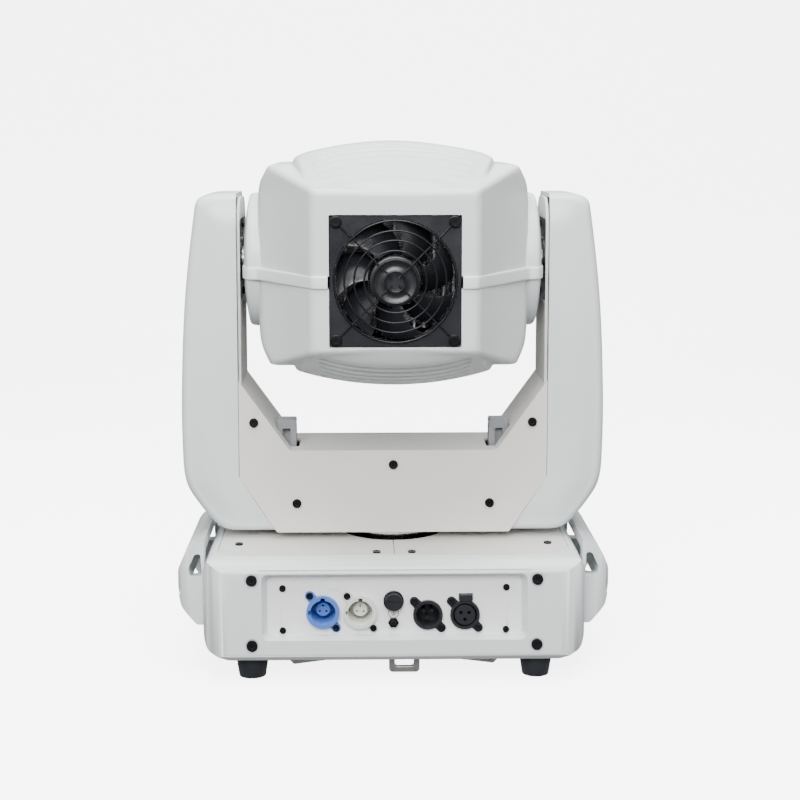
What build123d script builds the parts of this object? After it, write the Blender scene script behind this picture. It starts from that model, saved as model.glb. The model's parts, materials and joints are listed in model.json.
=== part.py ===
from build123d import *
import math
import os

# Moving head light. Millimetres, +Z up, origin on the floor on the pan axis.
# -Y is the connector and fan side, +Y the display side, and the lens points to +Y at rest.
# +X is the direction of the tilt axis.

# ---- base ----
BASE_HALF_X = 142.0
BASE_HALF_Y = 96.0
BASE_LOW = 16.0
BASE_TOP = 94.0
WALL = 3.0
CORNER_R = 20.0
PLATE_T = 2.0
PANEL_Y = -87.0
PANEL_HALF_X = 94.0
PANEL_LOW = 34.6
PANEL_HIGH = 79.0
PAN_HOLE_R = 39.5
FOOT_X = 106.0
FOOT_Y = 74.0
FOOT_TOP_R = 12.5
FOOT_LOW_R = 10.0

# ---- connectors: x and z of each centre on the panel ----
POWER_IN = (-52.8, 52.3)
POWER_OUT = (-25.3, 52.0)
FUSE = (-0.7, 60.2)
EARTH = (-0.8, 44.0)
DATA_IN = (24.6, 49.7)
DATA_OUT = (52.0, 49.7)
POWER_R = 12.2
DATA_R = 11.0
SOCKET_SCREW = (9.7, 12.2)
DATA_SCREW = (10.0, 10.1)
PANEL_SCREWS = ((82.5, 70.0), (82.5, 38.0), (-82.5, 70.0), (-82.5, 38.0))
EAR_R = 3.4

# ---- display side ----
BEZEL_HALF_X = 51.7
BEZEL_LOW = 38.3
BEZEL_HIGH = 77.7
BUTTON_R = 4.5
BUTTON_CENTRES = ((26.0, 66.0), (41.0, 66.0), (26.0, 50.0), (41.0, 50.0))

# ---- handles ----
HANDLE_X = 142.2
HANDLE_HALF_Y = 62.0
HANDLE_POCKET_Y = 50.0

# ---- brackets under the base ----
BRACKET_CENTRE = (56.0, -33.0)
BRACKET_ANGLE = 21.0
BRACKET_HALF_W = 14.0
BRACKET_FLAT = 27.0
BRACKET_SLOPE = 9.0
BRACKET_FLANGE = 13.0
BRACKET_LOW = 1.5
CLAMP_HOLE_R = 6.5
LOCK_R = 5.0

# ---- pan drive ----
SHAFT_R = 19.0
SHAFT_BORE_R = 14.0
RUNNING = 0.05
BRIDGE_Z = 56.0
BRIDGE_POSTS = ((-48.0, -36.0), (-48.0, 52.0), (83.0, -36.0), (33.0, 53.0))
PAN_PULLEY_R = 32.0
MOTOR_PULLEY_R = 8.0
PAN_MOTOR = (64.0, 30.0)
MOTOR_HALF = 21.0
BELT_GAP = 0.3
BELT_T = 1.5

# ---- yoke ----
YOKE_LOW = 99.8
YOKE_HALF_Y = 37.5
YOKE_SKIN = 2.0
ARM_PLATE_X = 116.8
ARM_PLATE_HALF_Y = 33.0
ARM_TOP = 354.0
COVER_X = 117.2
COVER_HALF_Y = 38.0
TILT_Z = 306.0
WINDOW_LOW = 275.0
WINDOW_HIGH = 338.0
WINDOW_HALF_Y = 30.0
TILT_SHAFT_R = 10.0
TILT_PULLEY_R = 24.0
TILT_MOTOR_Z = 182.0
DRIVE_X = -119.5
DRIVE_W = 8.0
YOKE_SCREWS = ((105.5, 185.0), (-105.5, 185.0), (0.0, 152.4), (73.4, 122.5), (-73.4, 122.5))

# ---- head ----
HEAD_REAR = -128.0
HEAD_WALL = 3.0
SEAM_LOW = 294.5
SEAM_HIGH = 303.5
FAN_Z = 299.7
FAN_HALF = 45.5
FAN_DEPTH = 25.0
FAN_HOLE = 41.25
FAN_BORE_R = 43.5
POD_R = 51.0
POD_X = 113.5
BARREL_R = 61.5
LENS_R = 54.0
LENS_END = 170.0
WHEEL_R = 42.0
WHEEL_AXIS = (30.0, 330.0)
GUARD_RINGS = (42.4, 35.4, 28.7, 21.6, 15.2, 7.2)


# ================= helpers =================
def outline(points, radii):
    """Closed face through the points, each corner rounded by its radius."""
    return make_face(FilletPolyline(*points, radius=radii, close=True))


def mirrored(points, radii):
    """Closed face from its right half, listed from bottom to top."""
    left = [(-x, z) for x, z in reversed(points)]
    return outline(list(points) + left, list(radii) + list(reversed(radii)))


def along_y(face, low, high):
    """Extrude an x,z face from y = low to y = high."""
    plane = Plane(origin=(0, low, 0), x_dir=(1, 0, 0), z_dir=(0, -1, 0))
    return extrude(plane * face, -(high - low))


def along_x(face, low, high):
    """Extrude a y,z face from x = low to x = high."""
    plane = Plane(origin=(low, 0, 0), x_dir=(0, 1, 0), z_dir=(1, 0, 0))
    return extrude(plane * face, high - low)


def along_z(face, low, high):
    """Extrude an x,y face from z = low to z = high."""
    return extrude(Plane.XY.offset(low) * face, high - low)


def disc_y(x, z, radius, low, high):
    return along_y(Pos(x, z) * Circle(radius), low, high)


def disc_x(y, z, radius, low, high):
    return along_x(Pos(y, z) * Circle(radius), low, high)


def disc_z(x, y, radius, low, high):
    return along_z(Pos(x, y) * Circle(radius), low, high)


def block(x0, x1, y0, y1, z0, z1):
    return Pos((x0 + x1) / 2, (y0 + y1) / 2, (z0 + z1) / 2) * Box(x1 - x0, y1 - y0, z1 - z0)


def mirror_x(shape):
    return mirror(shape, about=Plane.YZ)


def mirror_y(shape):
    return mirror(shape, about=Plane.XZ)


def screw_y(x, z, face_y, out, head_r, shank_r, depth):
    """Socket screw in a face square to Y: out is -1 or +1, the way the head points."""
    head_t = head_r * 0.5
    tip = face_y - out * depth
    top = face_y + out * head_t
    head = disc_y(x, z, head_r, min(face_y, top), max(face_y, top))
    shank = disc_y(x, z, shank_r, min(face_y, tip), max(face_y, tip))
    hex_face = Pos(x, z) * RegularPolygon(head_r * 0.5, 6)
    socket_low = top - out * head_t * 0.6
    socket = along_y(hex_face, min(top, socket_low), max(top, socket_low))
    return head + shank - socket


def screw_z(x, y, face_z, out, head_r, shank_r, depth):
    """Socket screw in a face square to Z: out is -1 or +1, the way the head points."""
    head_t = head_r * 0.45
    tip = face_z - out * depth
    top = face_z + out * head_t
    head = disc_z(x, y, head_r, min(face_z, top), max(face_z, top))
    shank = disc_z(x, y, shank_r, min(face_z, tip), max(face_z, tip))
    socket_low = top - out * head_t * 0.6
    hex_face = Pos(x, y) * RegularPolygon(head_r * 0.5, 6)
    socket = along_z(hex_face, min(top, socket_low), max(top, socket_low))
    return head + shank - socket


def belt(length, radius_a, radius_b, thickness):
    """Flat belt round two pulleys, the first at the origin, the second at x = length."""
    outer = belt_outline(length, radius_a + thickness, radius_b + thickness)
    return outer - belt_outline(length, radius_a, radius_b)


def belt_outline(length, radius_a, radius_b):
    """Face bounded by two circles and their outer tangents."""
    lean = math.asin((radius_a - radius_b) / length)
    ca, sa = math.cos(lean), math.sin(lean)
    a_top = (radius_a * sa, radius_a * ca)
    b_top = (length + radius_b * sa, radius_b * ca)
    top = Line(a_top, b_top)
    round_b = ThreePointArc(b_top, (length + radius_b, 0), (b_top[0], -b_top[1]))
    low = Line((b_top[0], -b_top[1]), (a_top[0], -a_top[1]))
    round_a = ThreePointArc((a_top[0], -a_top[1]), (-radius_a, 0), a_top)
    return make_face([top, round_b, low, round_a])


# ================= base =================
def base_block(inset, top_inset):
    """Rounded box of the base, pulled in by inset, as the overlap of three outlines."""
    hx = BASE_HALF_X - inset
    hy = BASE_HALF_Y - inset
    low = BASE_LOW + inset
    top = BASE_TOP - top_inset
    front = mirrored(
        [(hx - 21, low), (hx - 3, low + 8), (hx, low + 18), (hx, top - 12), (hx - 6, top)],
        [14, 8, 8, 9, 9])
    side = mirrored(
        [(hy - 5, low), (hy, low + 5), (hy, top - 9), (hy - 12, top)],
        [4, 4, 9, 14])
    plan = RectangleRounded(2 * hx, 2 * hy, CORNER_R - inset)
    return along_y(front, -hy, hy) & along_x(side, -hx, hx) & along_z(plan, low, top)


def octagon(half_x, half_y, cut):
    return mirrored(
        [(half_x - cut, -half_y), (half_x, -half_y + cut), (half_x, half_y - cut), (half_x - cut, half_y)],
        [6, 6, 6, 6])


def panel_pocket():
    """Sloped recess round the connector panel."""
    plane_out = Plane(origin=(0, -BASE_HALF_Y - 1, 0), x_dir=(1, 0, 0), z_dir=(0, -1, 0))
    plane_in = Plane(origin=(0, PANEL_Y - 1, 0), x_dir=(1, 0, 0), z_dir=(0, -1, 0))
    height = PANEL_HIGH - PANEL_LOW
    mouth = Pos(0, 57.8) * RectangleRounded(2 * PANEL_HALF_X + 8, 50.8, 5)
    floor = Pos(0, PANEL_LOW + height / 2) * RectangleRounded(2 * PANEL_HALF_X, height, 4)
    cone = loft([plane_out * mouth, plane_in * floor])
    return cone + along_y(floor, PANEL_Y - 1.2, PANEL_Y + 2)


def base_corner_screws():
    """x and z of the corner screws on the rear and front faces."""
    return [(x, z) for x in (-104.7, 104.7) for z in (29.0, 78.2)]


def base_shell():
    shell = base_block(0, 0) - base_block(WALL, 5.0)
    boss = block(-100, 100, -BASE_HALF_Y + 1, PANEL_Y, 29.5, 86.0)
    shell = shell + boss
    shell = shell - panel_pocket()
    shell = shell - along_z(octagon(131.5, 82.5, 20), BASE_TOP - PLATE_T, BASE_TOP + 1)
    shell = shell - along_z(octagon(112.0, 71.0, 18), BASE_TOP - 8, BASE_TOP)
    for x, y in top_plate_screws():
        shell = shell - disc_z(x, y, 1.7, BASE_TOP - 8, BASE_TOP)
    shell = shell - block(-112, 112, -79, 79, BASE_LOW - 1, BASE_LOW + 6)
    shell = shell - block(-BEZEL_HALF_X - 0.3, BEZEL_HALF_X + 0.3, 80, 100, BEZEL_LOW - 0.3, BEZEL_HIGH + 0.3)
    for x, z in base_corner_screws():
        for side in (-1, 1):
            near = side * BASE_HALF_Y
            seat = side * (BASE_HALF_Y - 1.0)
            shell = shell - disc_y(x, z, 5.2, min(near * 1.02, seat), max(near * 1.02, seat))
            shell = shell - disc_y(x, z, 2.1, min(near, side * 88), max(near, side * 88))
    return shell


def base_plate():
    plate = along_z(RectangleRounded(224, 166, 10), BASE_LOW + WALL, BASE_LOW + WALL + PLATE_T)
    for x, y in lock_centres():
        plate = plate - disc_z(x, y, 3.3, 10, 30)
    return plate


def top_plates():
    """Two steel halves that meet on the centre line and leave the pan hole."""
    sheet = along_z(octagon(131, 82, 20), BASE_TOP - PLATE_T, BASE_TOP)
    sheet = sheet - disc_z(0, 0, PAN_HOLE_R, 80, 100)
    sheet = sheet - block(-0.25, 0.25, -90, 90, 80, 100)
    for x, y in top_plate_screws():
        sheet = sheet - disc_z(x, y, 1.7, 80, 100)
    return sheet


def top_plate_screws():
    return [(sx * x, sy * y) for x, y in ((116.7, 52.0), (13.0, 77.0)) for sx in (-1, 1) for sy in (-1, 1)]


def connector_panel():
    sheet = block(-98, 98, PANEL_Y, PANEL_Y + 1.5, 31, 83)
    holes = [(POWER_IN, POWER_R - 1.5), (POWER_OUT, POWER_R - 1.5), (DATA_IN, DATA_R - 1), (DATA_OUT, DATA_R - 1)]
    holes = holes + [(FUSE, 6.0)]
    for (x, z), radius in holes:
        sheet = sheet - disc_y(x, z, radius + 0.05, PANEL_Y - 1, PANEL_Y + 3)
    for x, z in panel_screw_points():
        sheet = sheet - disc_y(x, z, 1.6, PANEL_Y - 1, PANEL_Y + 3)
    sheet = sheet - disc_y(EARTH[0], EARTH[1], 2.1, PANEL_Y - 1, PANEL_Y + 3)
    tab_x, tab_z = latch_place()
    return sheet - block(tab_x - 5.2, tab_x + 5.2, PANEL_Y - 1, PANEL_Y + 3, tab_z - 2.2, tab_z + 3.2)


def flange_screws():
    """Screws of the four sockets, upper left and lower right of each."""
    spots = []
    for centre in (POWER_IN, POWER_OUT):
        spots.append((centre[0] - SOCKET_SCREW[0], centre[1] + SOCKET_SCREW[1]))
        spots.append((centre[0] + SOCKET_SCREW[0], centre[1] - SOCKET_SCREW[1]))
    for centre in (DATA_IN, DATA_OUT):
        spots.append((centre[0] - DATA_SCREW[0], centre[1] + DATA_SCREW[1]))
        spots.append((centre[0] + DATA_SCREW[0], centre[1] - DATA_SCREW[1]))
    return spots


def panel_screw_points():
    return flange_screws() + list(PANEL_SCREWS)


def socket_flange(centre, screw, radius):
    """Square flange with rounded ends that a socket is screwed through."""
    x, z = centre
    dx, dz = screw
    low = PANEL_Y - 1.5
    lean = math.degrees(math.atan2(-dz, dx))
    reach = math.hypot(dx, dz)
    bar = Rot(0, 0, lean) * Rectangle(2 * reach, 2 * EAR_R)
    flange = along_y(Pos(x, z) * bar, low, PANEL_Y) + disc_y(x, z, radius, low, PANEL_Y)
    for side in (-1, 1):
        ear_x = x + side * dx
        ear_z = z - side * dz
        flange = flange + disc_y(ear_x, ear_z, EAR_R, low, PANEL_Y)
        flange = flange - disc_y(ear_x, ear_z, 1.7, low - 1, PANEL_Y + 1)
    return flange


def power_socket(centre):
    """Round locking mains socket: ring, cup and a keyed core with three blades."""
    x, z = centre
    ring = disc_y(x, z, POWER_R, PANEL_Y - 4.5, PANEL_Y)
    barrel = disc_y(x, z, POWER_R - 1.5, PANEL_Y, PANEL_Y + 24)
    body = socket_flange(centre, SOCKET_SCREW, POWER_R) + ring + barrel
    body = body - disc_y(x, z, 9.3, PANEL_Y - 5, PANEL_Y + 20)
    body = body - block(x - 1.6, x + 1.6, PANEL_Y - 5, PANEL_Y + 6, z + 9.0, z + 11.0)
    body = body - block(x - 11.0, x - 9.0, PANEL_Y - 5, PANEL_Y + 6, z - 1.6, z + 1.6)
    core = disc_y(x, z, 5.0, PANEL_Y + 5, PANEL_Y + 21)
    for turn in range(3):
        angle = math.radians(90 + 120 * turn)
        slot_x = x + 2.8 * math.cos(angle)
        slot_z = z + 2.8 * math.sin(angle)
        core = core - disc_y(slot_x, slot_z, 0.9, PANEL_Y + 4, PANEL_Y + 16)
    return body + core


def pin_angles():
    return [math.radians(90 + step) for step in (-60, 60, 180)]


def data_in_socket():
    """Male three-pin socket: a cup with three pins on a circle of 6.9 mm."""
    x, z = DATA_IN
    body = socket_flange(DATA_IN, DATA_SCREW, DATA_R) + disc_y(x, z, DATA_R - 1, PANEL_Y, PANEL_Y + 20)
    body = body + disc_y(x, z, DATA_R, PANEL_Y - 3.0, PANEL_Y)
    body = body - disc_y(x, z, 8.7, PANEL_Y - 4, PANEL_Y + 14)
    for angle in pin_angles():
        body = body + disc_y(x + 3.45 * math.cos(angle), z + 3.45 * math.sin(angle), 1.2, PANEL_Y + 3, PANEL_Y + 15)
    return body


def latch_place():
    return DATA_OUT[0] + 0.7, DATA_OUT[1] + 12.4


def data_out_socket():
    """Female three-hole socket with a slot for its latch tab."""
    x, z = DATA_OUT
    body = socket_flange(DATA_OUT, DATA_SCREW, DATA_R) + disc_y(x, z, DATA_R - 1, PANEL_Y, PANEL_Y + 20)
    body = body + disc_y(x, z, DATA_R, PANEL_Y - 3.0, PANEL_Y)
    ring = disc_y(x, z, 8.9, PANEL_Y - 4, PANEL_Y + 10) - disc_y(x, z, 7.6, PANEL_Y - 4, PANEL_Y + 10)
    body = body - ring
    for angle in pin_angles():
        body = body - disc_y(x + 3.45 * math.cos(angle), z + 3.45 * math.sin(angle), 1.3, PANEL_Y - 4, PANEL_Y + 12)
    tab_x, tab_z = latch_place()
    return body - block(tab_x - 5.2, tab_x + 5.2, PANEL_Y - 5, PANEL_Y + 8, tab_z - 2.2, tab_z + 6.2)


def data_out_latch():
    """Press tab over the female socket, which slides into the panel."""
    x, z = latch_place()
    tab = block(x - 4.8, x + 4.8, PANEL_Y - 3.5, PANEL_Y + 5, z - 1.8, z + 2.8)
    return fillet(tab.edges().filter_by(Axis.Y), 1.0)


def fuse_holder():
    x, z = FUSE
    body = disc_y(x, z, 7.6, PANEL_Y - 2, PANEL_Y) + disc_y(x, z, 6.0, PANEL_Y, PANEL_Y + 30)
    return body - disc_y(x, z, 5.3, PANEL_Y - 3, PANEL_Y + 27)


def fuse_cap():
    """Turning cap with a screwdriver slot that holds the fuse."""
    x, z = FUSE
    cap = disc_y(x, z, 6.4, PANEL_Y - 6, PANEL_Y - 2.2) + disc_y(x, z, 5.22, PANEL_Y - 2.2, PANEL_Y + 24)
    return cap - block(x - 5.0, x + 5.0, PANEL_Y - 7, PANEL_Y - 4.4, z - 0.7, z + 0.7)


def earth_stud():
    x, z = EARTH
    stud = disc_y(x, z, 2.0, PANEL_Y - 6, PANEL_Y + 8)
    nut_face = Pos(x, z) * RegularPolygon(4.0, 6)
    return stud + along_y(nut_face, PANEL_Y - 3.2, PANEL_Y)


def base_screws():
    """Every screw of the base: corners, top plates, sockets and panel."""
    screws = []
    for x, z in base_corner_screws():
        for side in (-1, 1):
            screws.append(screw_y(x, z, side * (BASE_HALF_Y - 1.0), side, 4.1, 1.9, 6))
    for x, y in top_plate_screws():
        screws.append(screw_z(x, y, BASE_TOP, 1, 3.0, 1.5, 5))
    for x, z in flange_screws():
        screws.append(screw_y(x, z, PANEL_Y - 1.5, -1, 2.5, 1.4, 7))
    for x, z in PANEL_SCREWS:
        screws.append(screw_y(x, z, PANEL_Y, -1, 2.5, 1.4, 6))
    screws.append(earth_stud())
    return Compound(children=screws)


def handle_right():
    """Moulded side grip: fingers go in below the bar and curl up behind it."""
    face = outline(
        [(HANDLE_X, 34.8), (148.5, 34.8), (160.2, 48.7), (163.0, 59.4),
         (163.0, 76.0), (156.0, 92.0), (142.2, 99.7)],
        [0, 5, 8, 12, 18, 16, 0])
    grip = along_y(face, -HANDLE_HALF_Y, HANDLE_HALF_Y)
    grip = grip & along_z(Pos(HANDLE_X - 20, 0) * RectangleRounded(2 * 40.8, 2 * HANDLE_HALF_Y, 9), 30, 105)
    pocket = outline([(HANDLE_X - 1, 42), (154.5, 42), (154.5, 80), (149.0, 90.5), (HANDLE_X - 1, 90.5)],
                     [0, 3, 8, 3, 0])
    grip = grip - along_y(pocket, -HANDLE_POCKET_Y, HANDLE_POCKET_Y)
    mouth = Pos(0, 53) * RectangleRounded(2 * 46.0, 22, 8)
    grip = grip - along_x(mouth, HANDLE_X - 1, 170)
    window = outline([(144.2, 72.5), (152.5, 71.5), (154.5, 78.0), (149.5, 89.0), (145.0, 90.0)], [2, 2, 4, 3, 2])
    grip = grip - along_y(window, -70, 70)
    for side in (-1, 1):
        grip = grip - disc_x(side * 56, 60, 3.6, 160.5, 170)
    return grip


def side_handles():
    return Compound(children=[handle_right(), mirror_x(handle_right())])


def foot(x, y):
    cone = Pos(x, y, BASE_LOW / 2) * Cone(FOOT_LOW_R, FOOT_TOP_R, BASE_LOW)
    return cone - disc_z(x, y, 4.0, -1, 5)


def feet():
    return Compound(children=[foot(sx * FOOT_X, sy * FOOT_Y) for sx in (-1, 1) for sy in (-1, 1)])


def safety_eye():
    """U strap under the base for a safety cable."""
    low = 2.0
    high = BASE_LOW + WALL
    strap = outline([(-4, low), (19, low), (19, high), (-4, high)], [3, 3, 0, 0])
    gap = outline([(0.5, low + 4.5), (14.5, low + 4.5), (14.5, high + 1), (0.5, high + 1)], [2, 2, 0, 0])
    return along_y(strap, -77.5, -73.0) - along_y(gap, -80, -70)


def bracket_local():
    """Hat-section strap along x, centred, with its flat at the bottom and its flanges under the base plate."""
    top = BASE_LOW + WALL
    sheet = 2.0
    reach = BRACKET_FLAT + BRACKET_SLOPE + BRACKET_FLANGE
    knee = BRACKET_FLAT + BRACKET_SLOPE
    lower = [(-reach, top - sheet), (-knee, top - sheet), (-BRACKET_FLAT, BRACKET_LOW), (BRACKET_FLAT, BRACKET_LOW),
             (knee, top - sheet), (reach, top - sheet)]
    upper = [(reach, top), (knee - 1.4, top), (BRACKET_FLAT - 1.4, BRACKET_LOW + sheet),
             (-BRACKET_FLAT + 1.4, BRACKET_LOW + sheet), (-knee + 1.4, top), (-reach, top)]
    strap = along_y(outline(lower + upper, [0, 1, 2, 2, 1, 0, 0, 1, 1, 1, 1, 0]), -BRACKET_HALF_W, BRACKET_HALF_W)
    strap = strap - disc_z(0, 0, CLAMP_HOLE_R, 0, 6)
    for side in (-1, 1):
        strap = strap - disc_z(side * lock_offset(), 0, 3.3, 0, 20)
    return strap


def lock_offset():
    return BRACKET_FLAT + BRACKET_SLOPE + BRACKET_FLANGE / 2 + 1.0


def bracket_place(side):
    """Place of a bracket: side is -1 for the left one and +1 for the right one."""
    return Pos(side * BRACKET_CENTRE[0], BRACKET_CENTRE[1], 0) * Rot(0, 0, -side * BRACKET_ANGLE)


def brackets():
    return Compound(children=[bracket_place(side) * bracket_local() for side in (-1, 1)])


def lock_centres():
    """x and y of the four quarter-turn locks."""
    spots = []
    for side in (-1, 1):
        angle = math.radians(-side * BRACKET_ANGLE)
        for end in (-1, 1):
            x = side * BRACKET_CENTRE[0] + end * lock_offset() * math.cos(angle)
            y = BRACKET_CENTRE[1] + end * lock_offset() * math.sin(angle)
            spots.append((x, y))
    return spots


def quick_lock(x, y, index):
    """Quarter-turn lock with a thumb wing under the flange."""
    flange = BASE_LOW + WALL - 2.0
    stud = disc_z(x, y, 3.2, flange - 1, BASE_LOW + WALL + 4)
    head = disc_z(x, y, LOCK_R, flange - 2.3, flange - 0.1)
    wing = Pos(x, y, flange - 4.2) * Rot(0, 0, 90 + (21 if index < 2 else -21)) * Box(9.0, 1.8, 4.0)
    return stud + head + wing


def display_bezel():
    flange_face = Pos(0, 58) * RectangleRounded(2 * BEZEL_HALF_X + 8, BEZEL_HIGH - BEZEL_LOW + 8, 5)
    flange = along_y(flange_face, BASE_HALF_Y, BASE_HALF_Y + 1.6)
    plug = block(-BEZEL_HALF_X, BEZEL_HALF_X, 88, BASE_HALF_Y, BEZEL_LOW, BEZEL_HIGH)
    bezel = flange + plug
    bezel = bezel - block(-44, 12, 90.5, 99, 43, 73)
    bezel = bezel - block(-40, 8, 87, 99, 46, 70)
    for x, z in BUTTON_CENTRES:
        bezel = bezel - disc_y(x, z, BUTTON_R + 0.2, 87, 99)
    return bezel


def display_screen():
    return block(-43.8, 11.8, 91, 94.5, 43.2, 72.8) + block(-39.5, 7.5, 86, 91, 46.5, 69.5)


def menu_button(x, z):
    """Dished round push button with a stem behind the bezel."""
    cap = disc_y(x, z, BUTTON_R, 89, BASE_HALF_Y + 3.2)
    dish = Pos(x, BASE_HALF_Y + 3.2 + 11.4, z) * Sphere(12)
    return cap - dish + disc_y(x, z, 2.0, 85.5, 89)


def power_supply():
    case = block(-122, -70, -56, 70, 24, 66)
    for index in range(9):
        y = -48 + index * 13
        case = case - block(-114, -78, y, y + 6, 64.5, 67)
    terminals = block(-120, -74, -64, -56, 24, 38)
    return case + terminals


def control_board():
    board = block(-60, 60, 80, 81.6, 24, 86)
    for x, z, w, h, depth in ((-30, 40, 20, 20, 3), (20, 70, 14, 14, 3), (30, 36, 30, 8, 10), (-30, 74, 26, 9, 9)):
        board = board + block(x - w / 2, x + w / 2, 80 - depth, 80, z - h / 2, z + h / 2)
    return board


def bearing_bridge():
    """Steel bridge on four posts that carries the pan bearing and the pan motor."""
    plate = along_z(Pos(17, 8) * RectangleRounded(146, 104, 10), BRIDGE_Z, BRIDGE_Z + 3)
    ring = disc_z(0, 0, 30, BRIDGE_Z - 12, BRIDGE_Z + 3)
    bridge = plate + ring
    for x, y in BRIDGE_POSTS:
        bridge = bridge + disc_z(x, y, 5, BASE_LOW + WALL + PLATE_T, BRIDGE_Z)
    bridge = bridge - disc_z(0, 0, SHAFT_R + RUNNING, 0, 100)
    return bridge - disc_z(PAN_MOTOR[0], PAN_MOTOR[1], 11.5, 50, 62)


def motor_z(x, y, low, high, tip):
    """Square stepper motor standing on end, with its shaft up."""
    body = along_z(Pos(x, y) * RectangleRounded(2 * MOTOR_HALF, 2 * MOTOR_HALF, 4), low, high)
    middle = along_z(Pos(x, y) * RectangleRounded(2 * MOTOR_HALF - 3, 2 * MOTOR_HALF - 3, 2), low + 8, high - 8)
    ends = body - block(x - 30, x + 30, y - 30, y + 30, low + 8, high - 8)
    return ends + middle + disc_z(x, y, 11, high, high + 2) + disc_z(x, y, 2.5, high + 2, tip)


def toothed_pulley(radius, teeth, width, flange):
    """Pulley from z = 0 to width, with grooves round its rim and a thin flange at each end."""
    rim = Cylinder(radius, width, align=(Align.CENTER, Align.CENTER, Align.MIN))
    for index in range(teeth):
        angle = 360.0 * index / teeth
        groove = Rot(0, 0, angle) * Pos(radius, 0, width / 2) * Cylinder(radius * math.pi / teeth * 0.5, width - 2.4)
        rim = rim - groove
    low = Cylinder(radius + flange, 1.0, align=(Align.CENTER, Align.CENTER, Align.MIN))
    return rim + low + Pos(0, 0, width - 1.0) * low


def pan_motor_pulley():
    pulley = Pos(PAN_MOTOR[0], PAN_MOTOR[1], 61) * toothed_pulley(MOTOR_PULLEY_R, 16, 10, 1.5)
    return pulley - disc_z(PAN_MOTOR[0], PAN_MOTOR[1], 2.5 + RUNNING, 50, 80)


def pan_belt():
    distance = math.hypot(*PAN_MOTOR)
    heading = math.degrees(math.atan2(PAN_MOTOR[1], PAN_MOTOR[0]))
    loop = belt(distance, PAN_PULLEY_R + BELT_GAP, MOTOR_PULLEY_R + BELT_GAP, BELT_T)
    return Rot(0, 0, heading) * along_z(loop, 62.5, 69.5)


# ================= yoke =================
def pan_shaft():
    """Hollow shaft with its flange bolted under the yoke; the wiring passes through it."""
    shaft = disc_z(0, 0, SHAFT_R, 42, 97) + disc_z(0, 0, 34, 96.0, YOKE_LOW - 0.1)
    return shaft - disc_z(0, 0, SHAFT_BORE_R, 40, 101)


def pan_pulley():
    wheel = Pos(0, 0, 61) * toothed_pulley(PAN_PULLEY_R, 48, 10, 1.6)
    return wheel - disc_z(0, 0, SHAFT_R, 50, 80)


def cross_outline(inset):
    """Front outline of the cross-member: flat bottom, raised corners, and a notch between its shoulders."""
    low = YOKE_LOW + inset
    x = ARM_PLATE_X - inset
    dip = 163.3 - inset
    return mirrored(
        [(88.5 - inset * 0.6, low), (x, 142.3 + inset * 0.6), (x, 216.5 - inset * 1.9), (78.5 - inset * 0.6, dip)],
        [2, 3, 0, 3])


def arm_upright():
    """Right-hand steel upright with its bearing window."""
    top = ARM_TOP
    y = ARM_PLATE_HALF_Y
    face = mirrored([(y, 142.5), (y, top)], [0, 20])
    plate = along_x(face, ARM_PLATE_X - YOKE_SKIN, ARM_PLATE_X)
    window = Pos(0, (WINDOW_LOW + WINDOW_HIGH) / 2) * RectangleRounded(
        2 * WINDOW_HALF_Y, WINDOW_HIGH - WINDOW_LOW, 3)
    return plate - along_x(window, 100, 130)


def yoke_frame():
    """Welded sheet-steel cross-member with both uprights."""
    skin = along_y(cross_outline(0), -YOKE_HALF_Y, YOKE_HALF_Y)
    hollow = along_y(cross_outline(YOKE_SKIN), -YOKE_HALF_Y + YOKE_SKIN, YOKE_HALF_Y - YOKE_SKIN)
    frame = skin - hollow
    upright = arm_upright()
    frame = frame + upright + mirror_x(upright)
    frame = frame - disc_z(0, 0, SHAFT_BORE_R, 90, 105)
    for side in (-1, 1):
        frame = frame - block(side * 81 - 9, side * 81 + 9, -20, 12, 158, 190)
        for x, z in YOKE_SCREWS:
            frame = frame - disc_y(x, z, 1.7, min(side * 30, side * 40), max(side * 30, side * 40))
    shaft_hole = disc_x(0, TILT_MOTOR_Z, 11.5, -120, -110)
    return frame - shaft_hole


def yoke_screws():
    screws = []
    for side in (-1, 1):
        for x, z in YOKE_SCREWS:
            screws.append(screw_y(x, z, side * YOKE_HALF_Y, side, 3.45, 1.5, 8))
    for side in (-1, 1):
        for y in (-24, 24):
            pocket_x, pocket_z = arm_pocket()
            low = min(side * (pocket_x - 3.0), side * (pocket_x - 5.0))
            screws.append(disc_x(y, pocket_z, 3.0, low, low + 2.0))
    return Compound(children=screws)


def arm_pocket():
    """x and z of the recessed screw near the foot of each arm cover."""
    return 158.0, 160.0


def cable_guides():
    """Grey moulded block in each shoulder notch of the cross-member."""
    blocks = []
    for side in (-1, 1):
        x0 = side * 74.5
        x1 = side * 89.5
        body = block(min(x0, x1), max(x0, x1), -14, 2, 150, 178)
        cap = block(min(x0, x1) - 0.0, max(x0, x1), -14, 2, 178, 183)
        cap = fillet(cap.edges().filter_by(Axis.Y), 1.5)
        body = body - block(side * 82 - 3, side * 82 + 3, -15, -8, 160, 176)
        blocks.append(body + cap)
    return Compound(children=blocks)


def cover_outline(inset):
    """Front outline of the right arm cover; inset pulls in every side but the inner one."""
    k = inset
    inner = COVER_X - (5 if k else 0)
    return outline(
        [(91.5 + k * 2.2, 99.6 + k), (130 - k * 0.3, 99.6 + k), (155.4 - k, 128 + k * 0.5),
         (161.5 - k, 146), (159 - k, 276), (151 - k, 343), (148.5 - k, 357.3 - k),
         (inner, 357.3 - k), (inner, 142.9 + k * (0.6 if k else 1))],
        [0, 6, 12, 16, 60, 30, 9, 0, 0])


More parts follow.
